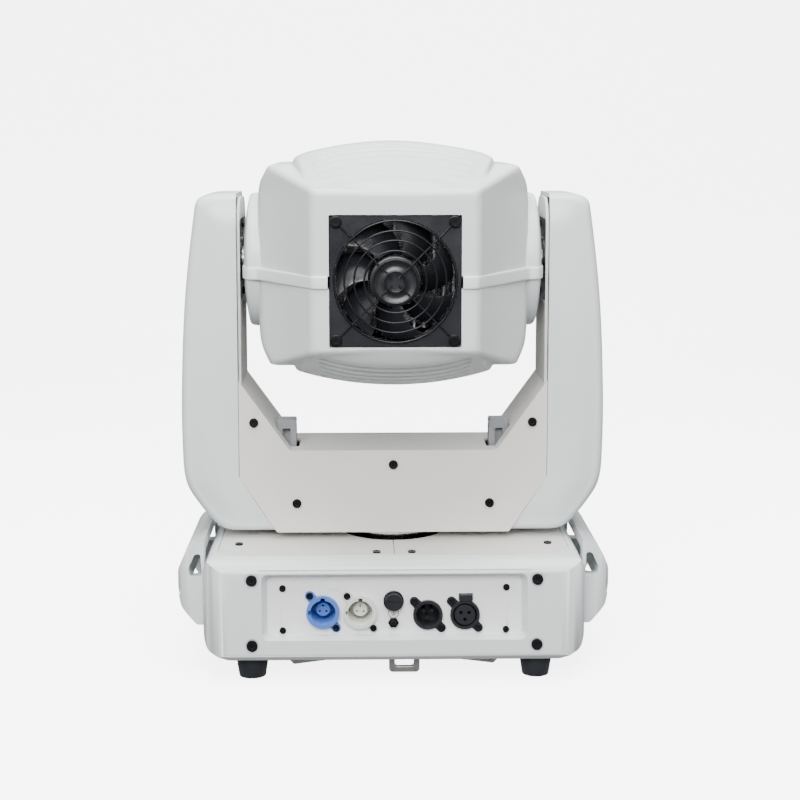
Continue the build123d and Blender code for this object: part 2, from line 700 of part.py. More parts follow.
def arm_cover_right():
    """Moulded cover of the arm, open towards the head."""
    solid = along_y(cover_outline(0), -COVER_HALF_Y, COVER_HALF_Y)
    rim = [edge for edge in solid.edges() if outer_rim(edge)]
    solid = fillet(rim, 10)
    hollow = along_y(cover_outline(3.0), -COVER_HALF_Y + 3, COVER_HALF_Y - 3)
    plan = Pos(COVER_X - 60, 0) * RectangleRounded(2 * 101.0, 2 * (COVER_HALF_Y - 3), 9)
    hollow = hollow & along_z(plan, 90, 370)
    cover = solid - hollow
    for y in (-24, 24):
        x, z = arm_pocket()
        cover = cover - disc_x(y, z, 4.5, x - 3, x + 10)
        cover = cover - disc_x(y, z, 1.8, x - 9, x)
    return cover - block(60, COVER_X, -50, 50, 143.2, 370)


def outer_rim(edge):
    """True for the rim edges of the arm cover, away from its inner side."""
    middle = edge.center()
    on_face = abs(abs(middle.Y) - COVER_HALF_Y) < 0.01
    along_face = abs(edge.tangent_at(0.5).Y) < 0.01
    inner_side = middle.X < COVER_X + 0.5 or (middle.X < 112 and middle.Z > 100.5)
    return on_face and along_face and not inner_side


def tilt_bearings():
    """Black bearing plate behind each window with its bored boss."""
    parts = []
    for side in (-1, 1):
        plate_face = Pos(0, TILT_Z) * RectangleRounded(2 * 32, 74, 3)
        x0 = side * (ARM_PLATE_X + 0.05)
        x1 = side * (ARM_PLATE_X + 1.55)
        plate = along_x(plate_face, min(x0, x1), max(x0, x1))
        b0 = side * 114.4
        b1 = side * 118.9
        boss = disc_x(0, TILT_Z, 17, min(b0, b1), max(b0, b1))
        bored = plate + boss - disc_x(0, TILT_Z, TILT_SHAFT_R + RUNNING, -140, 140)
        for y in (-24, 24):
            for z in (TILT_Z - 26, TILT_Z + 26):
                n0 = side * 115.2
                bored = bored + disc_x(y, z, 3.0, min(n0, x0), max(n0, x0))
        parts.append(bored)
    return Compound(children=parts)


def tilt_motor():
    """Stepper motor in the left arm, on four spacers, with its shaft towards the pulley plane."""
    face_x = DRIVE_X - DRIVE_W - 2
    back_x = -155.0
    face = Pos(0, TILT_MOTOR_Z) * RectangleRounded(2 * MOTOR_HALF, 2 * MOTOR_HALF, 4)
    body = along_x(face, back_x, face_x)
    slim = Pos(0, TILT_MOTOR_Z) * RectangleRounded(2 * MOTOR_HALF - 3, 2 * MOTOR_HALF - 3, 2)
    waist = along_x(face, back_x + 7, face_x - 7) - along_x(slim, back_x + 6, face_x - 6)
    motor = body - waist + disc_x(0, TILT_MOTOR_Z, 2.5, face_x, DRIVE_X + 0.5)
    for y in (-15.5, 15.5):
        for z in (TILT_MOTOR_Z - 15.5, TILT_MOTOR_Z + 15.5):
            motor = motor + disc_x(y, z, 3.0, face_x, -ARM_PLATE_X - 0.05)
    return motor


def x_pulley(radius, teeth, width):
    """Toothed pulley turned to the X axis, from x = 0 to width."""
    return Rot(0, 90, 0) * toothed_pulley(radius, teeth, width, 1.4)


def tilt_motor_pulley():
    wheel = Pos(DRIVE_X - DRIVE_W, 0, TILT_MOTOR_Z) * x_pulley(MOTOR_PULLEY_R, 16, DRIVE_W)
    return wheel - disc_x(0, TILT_MOTOR_Z, 2.5 + RUNNING, -140, -110)


def tilt_belt():
    loop = belt(TILT_Z - TILT_MOTOR_Z, TILT_PULLEY_R + BELT_GAP, MOTOR_PULLEY_R + BELT_GAP, BELT_T)
    placed = Pos(0, TILT_Z) * (Rot(0, 0, -90) * loop)
    return along_x(placed, DRIVE_X - DRIVE_W + 1.3, DRIVE_X - 1.3)


# ================= head =================
def facets(points):
    """Closed face with sharp corners, from its right half listed from bottom to top."""
    left = [(-x, z) for x, z in reversed(points)]
    return make_face(Polyline(list(points) + left, close=True))


def level_pair(points, k):
    """Side outline from its lower and upper points, each pulled in by k and shifted to the tilt axis."""
    placed = []
    for y, z in points:
        pull_y = k if y < -100 else (-k if y > 100 else 0)
        pull_z = k if z < 0 else -k
        placed.append((y + pull_y, TILT_Z + z + pull_z))
    return make_face(Polyline(placed, close=True))


def shoulder_block(k):
    """Broad body of the head: low shoulders and slanted rear and front corners, pulled in by k."""
    front = facets(
        [(90 - k, TILT_Z - 75.5 + k), (98 - k, TILT_Z - 69 + k), (103 - k, TILT_Z - 53 + k),
         (103 - k, TILT_Z + 53 - k), (98 - k, TILT_Z + 67 - k), (90 - k, TILT_Z + 74.5 - k)])
    side = level_pair(
        [(-128, -57), (-55, -76.2), (50, -76.3), (122, -60), (122, 60), (50, 75.3), (-55, 75.2), (-128, 57)], k)
    plan = facets([(56.3 - k * 0.8, -129 + k), (102 - k, -45), (102 - k, 48), (66.3 - k * 0.8, 123 - k)])
    return along_y(front, -140, 140) & along_x(side, -120, 120) & along_z(plan, 200, 420)


def hump_block(k):
    """Raised spine of the head over and under the shoulders, pulled in by k."""
    front = facets(
        [(14 - k, TILT_Z - 92.7 + k), (42 - k, TILT_Z - 89.5 + k), (70 - k, TILT_Z - 82.5 + k),
         (76.6 - k, TILT_Z - 71), (76.6 - k, TILT_Z + 71), (70 - k, TILT_Z + 81.5 - k),
         (42 - k, TILT_Z + 89 - k), (14 - k, TILT_Z + 92.7 - k)])
    side = level_pair(
        [(-128, -54), (-122, -65), (-80, -86), (-45, -93.2), (45, -93.1), (122, -66),
         (122, 66), (45, 93.1), (-45, 93.2), (-80, 86), (-122, 62), (-128, 42)], k)
    plan = facets([(57 - k * 0.8, -129 + k), (76 - k, -50), (76 - k, 50), (67 - k * 0.8, 123 - k)])
    return along_y(front, -140, 140) & along_x(side, -120, 120) & along_z(plan, 200, 420)


def pods():
    """Round ear on each side about the tilt axis, its dome in four steps."""
    ears = disc_x(0, TILT_Z, POD_R, -108.5, 108.5)
    for radius, x in ((46, 111.3), (36, 112.8), (22, POD_X)):
        ears = ears + disc_x(0, TILT_Z, radius, -x, x)
    return ears


def head_half(cut):
    """One half of the head's outer form: cut is the block that takes the other half away."""
    return (shoulder_block(0) - cut) + (hump_block(0) - cut) + (pods() - cut)


def vent_slots(top):
    """Eight slots across the spine behind its crest."""
    slots = []
    for index in range(8):
        y = -110 + index * 8.2
        drop = 15 if index < 6 else 9
        z = TILT_Z + (1 if top else -1) * (86 - drop / 2)
        slots.append(block(-54, 54, y, y + 3.0, z - 16, z + 24) if top else block(-54, 54, y, y + 3.0, z - 24, z + 16))
    return slots


def hollowed(half):
    """A half less the inside of the head, the fan opening, the lens opening and the shaft holes."""
    cover = half - shoulder_block(HEAD_WALL) - hump_block(HEAD_WALL)
    cover = cover - disc_x(0, TILT_Z, POD_R - 11, -108.5, 108.5)
    cover = cover - block(-FAN_HALF - 0.6, FAN_HALF + 0.6, -140, -110, FAN_Z - FAN_HALF - 0.6, FAN_Z + FAN_HALF + 0.6)
    cover = cover - disc_y(0, TILT_Z, BARREL_R + 0.5, 100, 130)
    return cover - disc_x(0, TILT_Z, 12.5, -120, 120)


def head_cover_top():
    cover = hollowed(head_half(block(-130, 130, -140, 140, 200, SEAM_HIGH + 0.05)))
    for slot in vent_slots(True):
        cover = cover - slot
    for side in (-1, 1):
        cover = cover - disc_z(side * 86, -62, 3.5, TILT_Z + 68.5, 400)
    return cover


def head_cover_bottom():
    cover = hollowed(head_half(block(-130, 130, -140, 140, SEAM_LOW - 0.05, 420)))
    for slot in vent_slots(False):
        cover = cover - slot
    for side in (-1, 1):
        cover = cover - disc_z(side * 86, -62, 3.5, 200, TILT_Z - 68.5)
    return cover


def seam_band():
    """Bright rubbing strip between the covers, a little proud of them."""
    slab = block(-POD_X, POD_X, -140, 140, SEAM_LOW, SEAM_HIGH)
    return hollowed((shoulder_block(-2.0) & slab) + (pods() & slab))


def fan_frame():
    """Square fan housing with its round duct, corner holes, hub seat and struts."""
    low = HEAD_REAR + 1.0
    high = low + FAN_DEPTH
    body = along_y(Pos(0, FAN_Z) * RectangleRounded(2 * FAN_HALF, 2 * FAN_HALF, 3), low, high)
    body = body - disc_y(0, FAN_Z, FAN_BORE_R, low - 1, high + 1)
    for x in (-FAN_HOLE, FAN_HOLE):
        for z in (FAN_Z - FAN_HOLE, FAN_Z + FAN_HOLE):
            body = body - disc_y(x, z, 2.1, low - 1, high + 1)
    seat = disc_y(0, FAN_Z, 17, high - 3, high)
    for turn in range(4):
        strut = Pos(0, 0, FAN_Z) * Rot(0, 25 + 90 * turn, 0) * block(12, FAN_BORE_R + 1, high - 3, high, -2.2, 2.2)
        seat = seat + strut
    return body + seat - disc_y(0, FAN_Z, 1.55, low, high + 1)


def fan_rotor():
    """Hub and seven swept blades."""
    low = HEAD_REAR + 4.0
    high = HEAD_REAR + FAN_DEPTH - 2.6
    hub = disc_y(0, FAN_Z, 18, low, high)
    hub = hub + disc_y(0, FAN_Z, 1.5, high, high + 3)
    for index in range(7):
        blade = Pos(0, (low + high) / 2, 0) * Rot(52, 0, 0) * block(15, 41.6, -9.5, 9.5, -0.9, 0.9)
        hub = hub + Pos(0, 0, FAN_Z) * Rot(0, 360.0 * index / 7, 0) * blade
    trim = disc_y(0, FAN_Z, 41.8, low - 2, high + 4)
    return hub & trim


def fan_guard():
    """Wire guard: six rings on four diagonal wires with a screw eye at each corner."""
    ring_y = HEAD_REAR - 1.0
    wire_y = HEAD_REAR + 0.1
    guard = Part()
    for radius in GUARD_RINGS:
        torus = Pos(0, ring_y, FAN_Z) * Rot(90, 0, 0) * Torus(radius, 0.8)
        guard = guard + torus
    corner = FAN_HOLE * math.sqrt(2)
    for turn in range(4):
        wire = Pos(corner / 2 + 0.8, 0, 0) * Rot(0, 90, 0) * Cylinder(0.85, corner - 7.6)
        eye = Rot(90, 0, 0) * (Cylinder(4.2, 1.4) - Cylinder(2.2, 3))
        arm = wire + Pos(corner, 0, 0) * eye
        guard = guard + Pos(0, wire_y, FAN_Z) * Rot(0, 45 + 90 * turn, 0) * arm
    return guard


def head_screws():
    """Fan screws at the corners of the guard, and cover screws in the shoulder pockets."""
    screws = []
    for x in (-FAN_HOLE, FAN_HOLE):
        for z in (FAN_Z - FAN_HOLE, FAN_Z + FAN_HOLE):
            screws.append(screw_y(x, z, HEAD_REAR - 0.75, -1, 3.2, 1.9, 20))
    return Compound(children=screws)


def tilt_shafts():
    """Hollow trunnion on each side, flanged to the chassis; the left one also carries the pulley."""
    parts = []
    for side, reach in ((-1, 129.0), (1, 122.0)):
        lo = min(side * 96.1, side * reach)
        hi = max(side * 96.1, side * reach)
        flange_end = side * 99.0
        pin = disc_x(0, TILT_Z, TILT_SHAFT_R, lo, hi)
        flange = disc_x(0, TILT_Z, 24, min(side * 96.1, flange_end), max(side * 96.1, flange_end))
        parts.append(pin + flange - disc_x(0, TILT_Z, 6, lo - 1, hi + 1))
    return Compound(children=parts)


def tilt_pulley():
    wheel = Pos(DRIVE_X - DRIVE_W, 0, TILT_Z) * x_pulley(TILT_PULLEY_R, 48, DRIVE_W)
    return wheel - disc_x(0, TILT_Z, TILT_SHAFT_R, -140, -110)


def head_chassis():
    """Folded steel frame inside the head: two side plates and two bulkheads."""
    chassis = block(-96, 96, -44, 46, TILT_Z - 45, TILT_Z + 45) - block(-94, 94, -42, 44, 200, 400)
    chassis = chassis - disc_y(0, TILT_Z, 36, -50, 50)
    chassis = chassis - disc_x(0, TILT_Z, 6, -100, 100)
    for side in (-1, 1):
        chassis = chassis - block(side * 70 - 12, side * 70 + 12, -50, 50, TILT_Z - 30, TILT_Z + 30)
    return chassis


def heat_sink():
    """Finned aluminium block between the light engine and the fan."""
    base = block(-50, 50, -52, -46, TILT_Z - 42, TILT_Z + 38)
    for index in range(15):
        x = -49 + index * 7
        base = base + block(x - 0.75, x + 0.75, -96, -52, TILT_Z - 42, TILT_Z + 38)
    return base


def led_engine():
    board = block(-33, 33, -46, -44.2, TILT_Z - 33, TILT_Z + 33)
    optic = Pos(0, -29.2, TILT_Z) * Rot(-90, 0, 0) * Cone(24, 14, 30)
    return board + optic


def wheel_disc(y, thickness, apertures, radius_hole):
    """Thin disc on its own spindle, with a ring of round windows on a circle through the light axis."""
    x, z = WHEEL_AXIS
    disc = disc_y(x, z, WHEEL_R, y, y + thickness) + disc_y(x, z, 6, y - 2.5, y + thickness + 2)
    reach = math.hypot(x, z - TILT_Z)
    start = math.atan2(TILT_Z - z, -x)
    for index in range(apertures):
        angle = start + 2 * math.pi * index / apertures
        disc = disc - disc_y(x + reach * math.cos(angle), z + reach * math.sin(angle), radius_hole, y - 1, y + thickness + 1)
    return disc - disc_y(x, z, 2.0, y - 5, y + 8)


def focus_carriage():
    """Lens ring on two guide eyes that slides along the light axis."""
    ring = disc_y(0, TILT_Z, 34, 70, 82) - disc_y(0, TILT_Z, 30, 68, 84)
    glass = disc_y(0, TILT_Z, 30, 73, 79)
    carriage = ring + glass
    for side in (-1, 1):
        carriage = carriage + disc_y(side * 38, TILT_Z, 6, 70, 82) - disc_y(side * 38, TILT_Z, 3.1, 60, 90)
    return carriage


def lens_barrel():
    """Front tube with its bezel ring, the guide rods of the focus carriage and their back plate."""
    tube = disc_y(0, TILT_Z, BARREL_R, 104, 166) - disc_y(0, TILT_Z, BARREL_R - 4, 100, 163)
    ring = disc_y(0, TILT_Z, BARREL_R + 2.5, 160, LENS_END)
    barrel = tube + ring - disc_y(0, TILT_Z, LENS_R - 1.5, 100, 175)
    barrel = barrel - disc_y(0, TILT_Z, LENS_R + 0.2, 158, 166)
    barrel = barrel + (disc_y(0, TILT_Z, BARREL_R, 104, 107) - disc_y(0, TILT_Z, 34, 100, 110))
    for side in (-1, 1):
        barrel = barrel + disc_y(side * 38, TILT_Z, 3.0, 65, 107)
    for index in range(36):
        angle = math.radians(index * 10)
        x = (BARREL_R + 2.6) * math.cos(angle)
        z = TILT_Z + (BARREL_R + 2.6) * math.sin(angle)
        barrel = barrel - disc_y(x, z, 1.1, 162, 168)
    return barrel


def front_lens():
    """Convex front lens, flat at the back."""
    rim = disc_y(0, TILT_Z, LENS_R, 158.2, 162.0)
    dome_r = 118.0
    centre_y = 168.5 - dome_r
    dome = (Pos(0, centre_y, TILT_Z) * Sphere(dome_r)) & disc_y(0, TILT_Z, LENS_R - 2, 158.2, 172)
    return rim + dome


def build():
    parts = {
        "base_shell": base_shell(), "base_plate": base_plate(), "top_plates": top_plates(),
        "connector_panel": connector_panel(), "power_in_socket": power_socket(POWER_IN),
        "power_out_socket": power_socket(POWER_OUT), "fuse_holder": fuse_holder(), "fuse_cap": fuse_cap(),
        "data_in_socket": data_in_socket(), "data_out_socket": data_out_socket(),
        "data_out_latch": data_out_latch(), "base_screws": base_screws(),
        "side_handles": side_handles(), "feet": feet(),
        "safety_eye": safety_eye(), "omega_brackets": brackets(), "display_bezel": display_bezel(),
        "display_screen": display_screen(), "power_supply": power_supply(), "control_board": control_board(),
        "bearing_bridge": bearing_bridge(), "pan_belt": pan_belt(), "pan_motor_pulley": pan_motor_pulley(),
        "pan_motor": motor_z(PAN_MOTOR[0], PAN_MOTOR[1], 22, BRIDGE_Z, 72),
        "pan_shaft": pan_shaft(), "pan_pulley": pan_pulley(), "yoke_frame": yoke_frame(),
        "yoke_screws": yoke_screws(), "cable_guides": cable_guides(), "arm_cover_right": arm_cover_right(),
        "arm_cover_left": mirror_x(arm_cover_right()), "tilt_bearings": tilt_bearings(),
        "tilt_motor": tilt_motor(), "tilt_motor_pulley": tilt_motor_pulley(), "tilt_belt": tilt_belt(),
    }
    for index, (x, z) in enumerate(BUTTON_CENTRES):
        parts[f"menu_button_{index + 1}"] = menu_button(x, z)
    for index, (x, y) in enumerate(lock_centres()):
        parts[f"quick_lock_{index + 1}"] = quick_lock(x, y, index)
    parts.update({
        "head_cover_top": head_cover_top(), "head_cover_bottom": head_cover_bottom(),
        "seam_band": seam_band(), "fan_frame": fan_frame(), "fan_rotor": fan_rotor(), "fan_guard": fan_guard(),
        "head_screws": head_screws(), "tilt_shafts": tilt_shafts(), "tilt_pulley": tilt_pulley(),
        "head_chassis": head_chassis(), "heat_sink": heat_sink(), "led_engine": led_engine(),
        "colour_wheel": wheel_disc(52, 1.6, 8, 9.0), "gobo_wheel": wheel_disc(60, 1.6, 7, 8.0),
        "focus_carriage": focus_carriage(), "lens_barrel": lens_barrel(), "front_lens": front_lens(),
    })
    return parts


os.makedirs("parts", exist_ok=True)
for name, shape in build().items():
    export_step(shape, f"parts/{name}.step")
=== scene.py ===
import json
import math

import bmesh
import bpy
import numpy as np
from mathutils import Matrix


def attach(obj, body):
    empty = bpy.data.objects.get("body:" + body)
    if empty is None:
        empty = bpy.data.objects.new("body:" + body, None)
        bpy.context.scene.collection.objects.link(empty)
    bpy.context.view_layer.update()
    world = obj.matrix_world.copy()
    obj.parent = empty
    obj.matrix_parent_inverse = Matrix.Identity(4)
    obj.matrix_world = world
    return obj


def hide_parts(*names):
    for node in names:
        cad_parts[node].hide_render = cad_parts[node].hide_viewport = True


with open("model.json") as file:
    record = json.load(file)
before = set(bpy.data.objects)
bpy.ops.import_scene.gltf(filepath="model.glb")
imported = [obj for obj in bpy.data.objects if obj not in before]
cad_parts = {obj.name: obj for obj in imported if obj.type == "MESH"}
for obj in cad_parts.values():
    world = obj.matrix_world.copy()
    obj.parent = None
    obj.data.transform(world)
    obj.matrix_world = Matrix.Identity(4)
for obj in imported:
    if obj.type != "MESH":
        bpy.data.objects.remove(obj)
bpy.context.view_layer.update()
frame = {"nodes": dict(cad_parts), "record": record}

# Moving head light. Lengths below are millimetres in the frame of the CAD part, and MM turns them to metres.
MM = 0.001

# ---- head ----
TILT_Z = 306.0
BAND_LOW = 294.5
BAND_TOP = 303.5
HEAD_REAR = -128.0
HEAD_FRONT = 122.0
SHELL_WALL = 3.0
EDGE_R = 5.0
CREASE = 6.0
CROWN = 6.2
CROWN_X = 54.0
STEP_SOFT = 3.0
FAN_OPENING = 46.0
FAN_Z = 299.7
LENS_OPENING = 62.3
SLOT_COUNT = 8
SLOT_FIRST_Y = -112.0
SLOT_PITCH = 8.2
SLOT_HALF_X = 53.0
POCKET_X = 86.0
POCKET_Y = -62.0
POD_R = 51.0
POD_X = 113.5
HEAD_COLUMNS = 300

# ---- fan ----
BLADES = 7
HUB_R = 18.0
BLADE_TIP_R = 41.4
FAN_HOLE = 41.25
GUARD_RINGS = (42.4, 35.4, 28.7, 21.6, 15.2, 7.2)
WIRE_R = 0.7

# ---- arm covers ----
COVER_X = 117.2
COVER_HALF_Y = 38.0
COVER_LOW = 99.6
COVER_TOP = 357.3
COVER_FOOT_X = 89.3
COVER_KNEE_Z = 142.9

# ---- connector panel ----
PANEL_Y = -87.0
EARTH_MARK = (-0.8, 50.8)
EARTH_MARK_R = 4.0


# ================= mesh helpers =================
def grid_faces(rows, columns, wrap_rows=False, wrap_columns=False):
    """Four-cornered faces between neighbouring points of a rows by columns grid."""
    r = np.arange(rows if wrap_rows else rows - 1)
    c = np.arange(columns if wrap_columns else columns - 1)
    r, c = [part.ravel() for part in np.meshgrid(r, c, indexing="ij")]
    r_next = (r + 1) % rows
    c_next = (c + 1) % columns
    corners = [r * columns + c, r_next * columns + c, r_next * columns + c_next, r * columns + c_next]
    return np.stack(corners, 1).tolist()


def put_mesh(name, points, faces, finish, body, slot, replaced=(), sharp=38.0):
    """Mesh object from points in millimetres: doubles merged, faces outwards, soft shaded up to the sharp
    angle."""
    mesh = bpy.data.meshes.new(name)
    mesh.from_pydata((np.asarray(points, float).reshape(-1, 3) * MM).tolist(), [], faces)
    work = bmesh.new()
    work.from_mesh(mesh)
    bmesh.ops.remove_doubles(work, verts=work.verts, dist=1e-6)
    bmesh.ops.dissolve_degenerate(work, edges=work.edges, dist=1e-7)
    if work.calc_volume(signed=True) < 0:
        bmesh.ops.reverse_faces(work, faces=work.faces)
    work.to_mesh(mesh)
    work.free()
    mesh.shade_smooth()
    mesh.set_sharp_from_angle(angle=math.radians(sharp))
    mesh.materials.append(finish)
    piece = bpy.data.objects.new(name, mesh)
    bpy.context.scene.collection.objects.link(piece)
    if body:
        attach(piece, body)
    if replaced:
        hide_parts(*replaced)
    return piece


def soft_low(a, b, width):
    """The lower of two arrays, with a round blend where they differ by less than width."""
    blend = np.clip(width - np.abs(a - b), 0, None)
    return np.minimum(a, b) - blend * blend / (4 * width)


def soft_high(a, b, width):
    return -soft_low(-a, -b, width)


def ease(value, low, high):
    """Smooth step: 0 at low, 1 at high."""
    t = np.clip((value - low) / (high - low), 0, 1)
    return t * t * (3 - 2 * t)


def edge_planes(outline):
    """Outward normal and distance of every edge of a convex outline listed anticlockwise."""
    start = np.array(outline, float)
    along = np.roll(start, -1, axis=0) - start
    normal = np.stack([along[:, 1], -along[:, 0]], 1)
    normal /= np.linalg.norm(normal, axis=1)[:, None]
    return normal, (normal * start).sum(1)


def both_sides(right_half):
    """Outline from its right half, listed from bottom to top."""
    return list(right_half) + [(-x, z) for x, z in reversed(right_half)]


def tube(path, radius, sides=10, closed=True):
    """Round tube: each path point carries a circle square to the path's direction."""
    path = np.asarray(path, float)
    if closed:
        along = np.roll(path, -1, axis=0) - np.roll(path, 1, axis=0)
    else:
        along = np.gradient(path, axis=0)
    along /= np.linalg.norm(along, axis=1)[:, None]
    side = np.cross(along, (0.0, 1.0, 0.0))
    side /= np.linalg.norm(side, axis=1)[:, None]
    up = np.cross(side, along)
    turn = np.linspace(0, 2 * np.pi, sides, endpoint=False)[None, :, None]
    ring = np.cos(turn) * side[:, None, :] + np.sin(turn) * up[:, None, :]
    points = path[:, None, :] + radius * ring
    faces = grid_faces(len(path), sides, wrap_rows=closed, wrap_columns=True)
    if not closed:
        last = (len(path) - 1) * sides
        faces += [list(range(sides - 1, -1, -1)), list(range(last, last + sides))]
    return points.reshape(-1, 3), faces


def joined(shapes):
    """Several (points, faces) lists as one."""
    points, faces, offset = [], [], 0
    for some_points, some_faces in shapes:
        points.append(np.asarray(some_points, float).reshape(-1, 3))
        faces += [[corner + offset for corner in face] for face in some_faces]
        offset += len(points[-1])
    return np.concatenate(points), faces


def turned_profile(profile, segments, centre, axis):
    """Surface of revolution: a profile of (place along the axis, radius) turned about the axis through
    centre."""
    profile = np.asarray(profile, float)
    turn = np.linspace(0, 2 * np.pi, segments, endpoint=False)
    along = np.repeat(profile[:, 0][:, None], segments, axis=1)
    u = profile[:, 1][:, None] * np.cos(turn)
    v = profile[:, 1][:, None] * np.sin(turn)
    order = {"x": (along, u, v), "y": (u, along, v), "z": (u, v, along)}[axis]
    points = np.stack(order, -1) + np.asarray(centre, float)
    return points.reshape(-1, 3), grid_faces(len(profile), segments, wrap_columns=True)


# ================= finishes =================
def new_finish(name):
    finish = bpy.data.materials.new(name)
    finish.use_nodes = True
    nodes = finish.node_tree.nodes
    return finish, nodes, finish.node_tree.links, nodes["Principled BSDF"]


def noise(nodes, links, place, scale, detail=3.0, roughness=0.55):
    node = nodes.new("ShaderNodeTexNoise")
    node.inputs["Scale"].default_value = scale
    node.inputs["Detail"].default_value = detail
    node.inputs["Roughness"].default_value = roughness
    links.new(place, node.inputs["Vector"])
    return node.outputs["Fac"]


def spread(nodes, links, value, low, high, from_low=0.3, from_high=0.7):
    node = nodes.new("ShaderNodeMapRange")
    node.inputs["From Min"].default_value = from_low
    node.inputs["From Max"].default_value = from_high
    node.inputs["To Min"].default_value = low
    node.inputs["To Max"].default_value = high
    links.new(value, node.inputs["Value"])
    return node.outputs["Result"]


def tones(nodes, links, value, dark, light):
    node = nodes.new("ShaderNodeMix")
    node.data_type = "RGBA"
    node.inputs[6].default_value = (*dark, 1)
    node.inputs[7].default_value = (*light, 1)
    links.new(value, node.inputs["Factor"])
    return node.outputs[2]


def stretched(nodes, links, place, scale):
    node = nodes.new("ShaderNodeMapping")
    node.inputs["Scale"].default_value = scale
    links.new(place, node.inputs["Vector"])
    return node.outputs["Vector"]


def bump(nodes, links, height, depth_mm, shader, strength=1.0, under=None):
    node = nodes.new("ShaderNodeBump")
    node.inputs["Distance"].default_value = depth_mm * MM
    node.inputs["Strength"].default_value = strength
    links.new(height, node.inputs["Height"])
    if under is not None:
        links.new(under, node.inputs["Normal"])
    links.new(node.outputs["Normal"], shader.inputs["Normal"])
    return node.outputs["Normal"]


def grained(name, colour, gloss, grain_mm, grain_depth, tone=0.02, metal=0.0, coat=0.0, sheen=0.0):
    """Moulded plastic, powder coat or rubber: slow drift of tone and gloss, and two sizes of grain."""
    finish, nodes, links, shader = new_finish(name)
    place = nodes.new("ShaderNodeTexCoord").outputs["Object"]
    slow = spread(nodes, links, noise(nodes, links, place, 14.0), 0.0, 1.0)
    dark = [max(0.0, c - tone) for c in colour]
    light = [min(1.0, c + tone * 0.6) for c in colour]
    links.new(tones(nodes, links, slow, dark, light), shader.inputs["Base Color"])
    wear = noise(nodes, links, place, 60.0, detail=5.0)
    links.new(spread(nodes, links, wear, gloss - 0.05, gloss + 0.07), shader.inputs["Roughness"])
    coarse_grain = noise(nodes, links, place, 0.35 / (grain_mm * MM))
    coarse = bump(nodes, links, coarse_grain, grain_depth * 2.0, shader, 0.5)
    fine_grain = noise(nodes, links, place, 1.0 / (grain_mm * MM))
    bump(nodes, links, fine_grain, grain_depth, shader, 0.8, under=coarse)
    shader.inputs["Metallic"].default_value = metal
    shader.inputs["Coat Weight"].default_value = coat
    shader.inputs["Sheen Weight"].default_value = sheen
    return finish


def brushed(name, colour, gloss, direction, depth=0.01, tone=0.05):
    """Metal with fine parallel scratches: noise squeezed across the brushing direction."""
    finish, nodes, links, shader = new_finish(name)
    place = nodes.new("ShaderNodeTexCoord").outputs["Object"]
    squeeze = [1.0 if axis == direction else 60.0 for axis in "xyz"]
    lines = noise(nodes, links, stretched(nodes, links, place, squeeze), 26.0, detail=6.0)
    dark = [max(0.0, c - tone) for c in colour]
    links.new(tones(nodes, links, lines, dark, colour), shader.inputs["Base Color"])
    links.new(spread(nodes, links, lines, gloss - 0.08, gloss + 0.10), shader.inputs["Roughness"])
    bump(nodes, links, lines, depth, shader, 0.6)
    shader.inputs["Metallic"].default_value = 1.0
    return finish


def clear_glass(name, tint, gloss):
    """Clear glass with the faintest dust in its gloss."""
    finish, nodes, links, shader = new_finish(name)
    place = nodes.new("ShaderNodeTexCoord").outputs["Object"]
    dust = noise(nodes, links, place, 90.0, detail=6.0)
    links.new(spread(nodes, links, dust, gloss, gloss + 0.05), shader.inputs["Roughness"])
    links.new(tones(nodes, links, dust, [c * 0.97 for c in tint], tint), shader.inputs["Base Color"])
    shader.inputs["Transmission Weight"].default_value = 1.0
    shader.inputs["IOR"].default_value = 1.5
    return finish


FINISHES = {
    "shell_white": grained("cool white moulded shell", (0.69, 0.725, 0.73), 0.38, 0.5, 0.012, 0.012, coat=0.12),
    # trim_white is the shell's white made lighter: a painted highlight where the seam band catches light.
    "trim_white": grained("trim strip lightened as painted highlight", (0.80, 0.81, 0.81), 0.34, 0.6, 0.008, 0.010, coat=0.15),
    "steel_white": grained("warm white powder coat", (0.70, 0.685, 0.655), 0.46, 0.9, 0.03, 0.014),
    "panel_white": grained("smooth white panel paint", (0.88, 0.88, 0.88), 0.34, 0.4, 0.006, 0.010, coat=0.1),
    "plastic_black": grained("black glass-filled plastic", (0.014, 0.015, 0.018), 0.30, 0.35, 0.012, 0.006),
    "plastic_blue": grained("blue socket plastic", (0.075, 0.17, 0.52), 0.34, 0.5, 0.008, 0.02, coat=0.1),
    "plastic_pale": grained("off-white socket plastic", (0.68, 0.70, 0.64), 0.36, 0.5, 0.008, 0.02, coat=0.1),
    "plastic_grey": grained("mid grey moulded plastic", (0.25, 0.26, 0.275), 0.42, 0.5, 0.012, 0.015),
    "screw_black": grained("black oxide steel", (0.016, 0.016, 0.018), 0.27, 0.3, 0.006, 0.006, metal=0.6),
    "zinc_steel": brushed("zinc plated steel", (0.60, 0.595, 0.58), 0.34, "x", 0.006, 0.06),
    "aluminium": brushed("turned aluminium", (0.74, 0.745, 0.75), 0.27, "x", 0.008, 0.07),
    "rubber_black": grained("black foot rubber", (0.010, 0.012, 0.017), 0.60, 0.4, 0.02, 0.006, sheen=0.1),
    "belt_rubber": grained("toothed belt rubber", (0.02, 0.02, 0.02), 0.6, 0.4, 0.02, 0.006),
    "board_green": grained("green circuit board", (0.02, 0.12, 0.045), 0.35, 1.5, 0.02, 0.015),
    "screen_glass": grained("dark display window", (0.008, 0.010, 0.016), 0.12, 2.0, 0.002, 0.003, coat=0.6),
    "lens_glass": clear_glass("clear lens glass", (0.95, 0.97, 1.0), 0.02),
    "wheel_metal": brushed("dark wheel metal", (0.20, 0.20, 0.22), 0.35, "z", 0.006, 0.05),
}

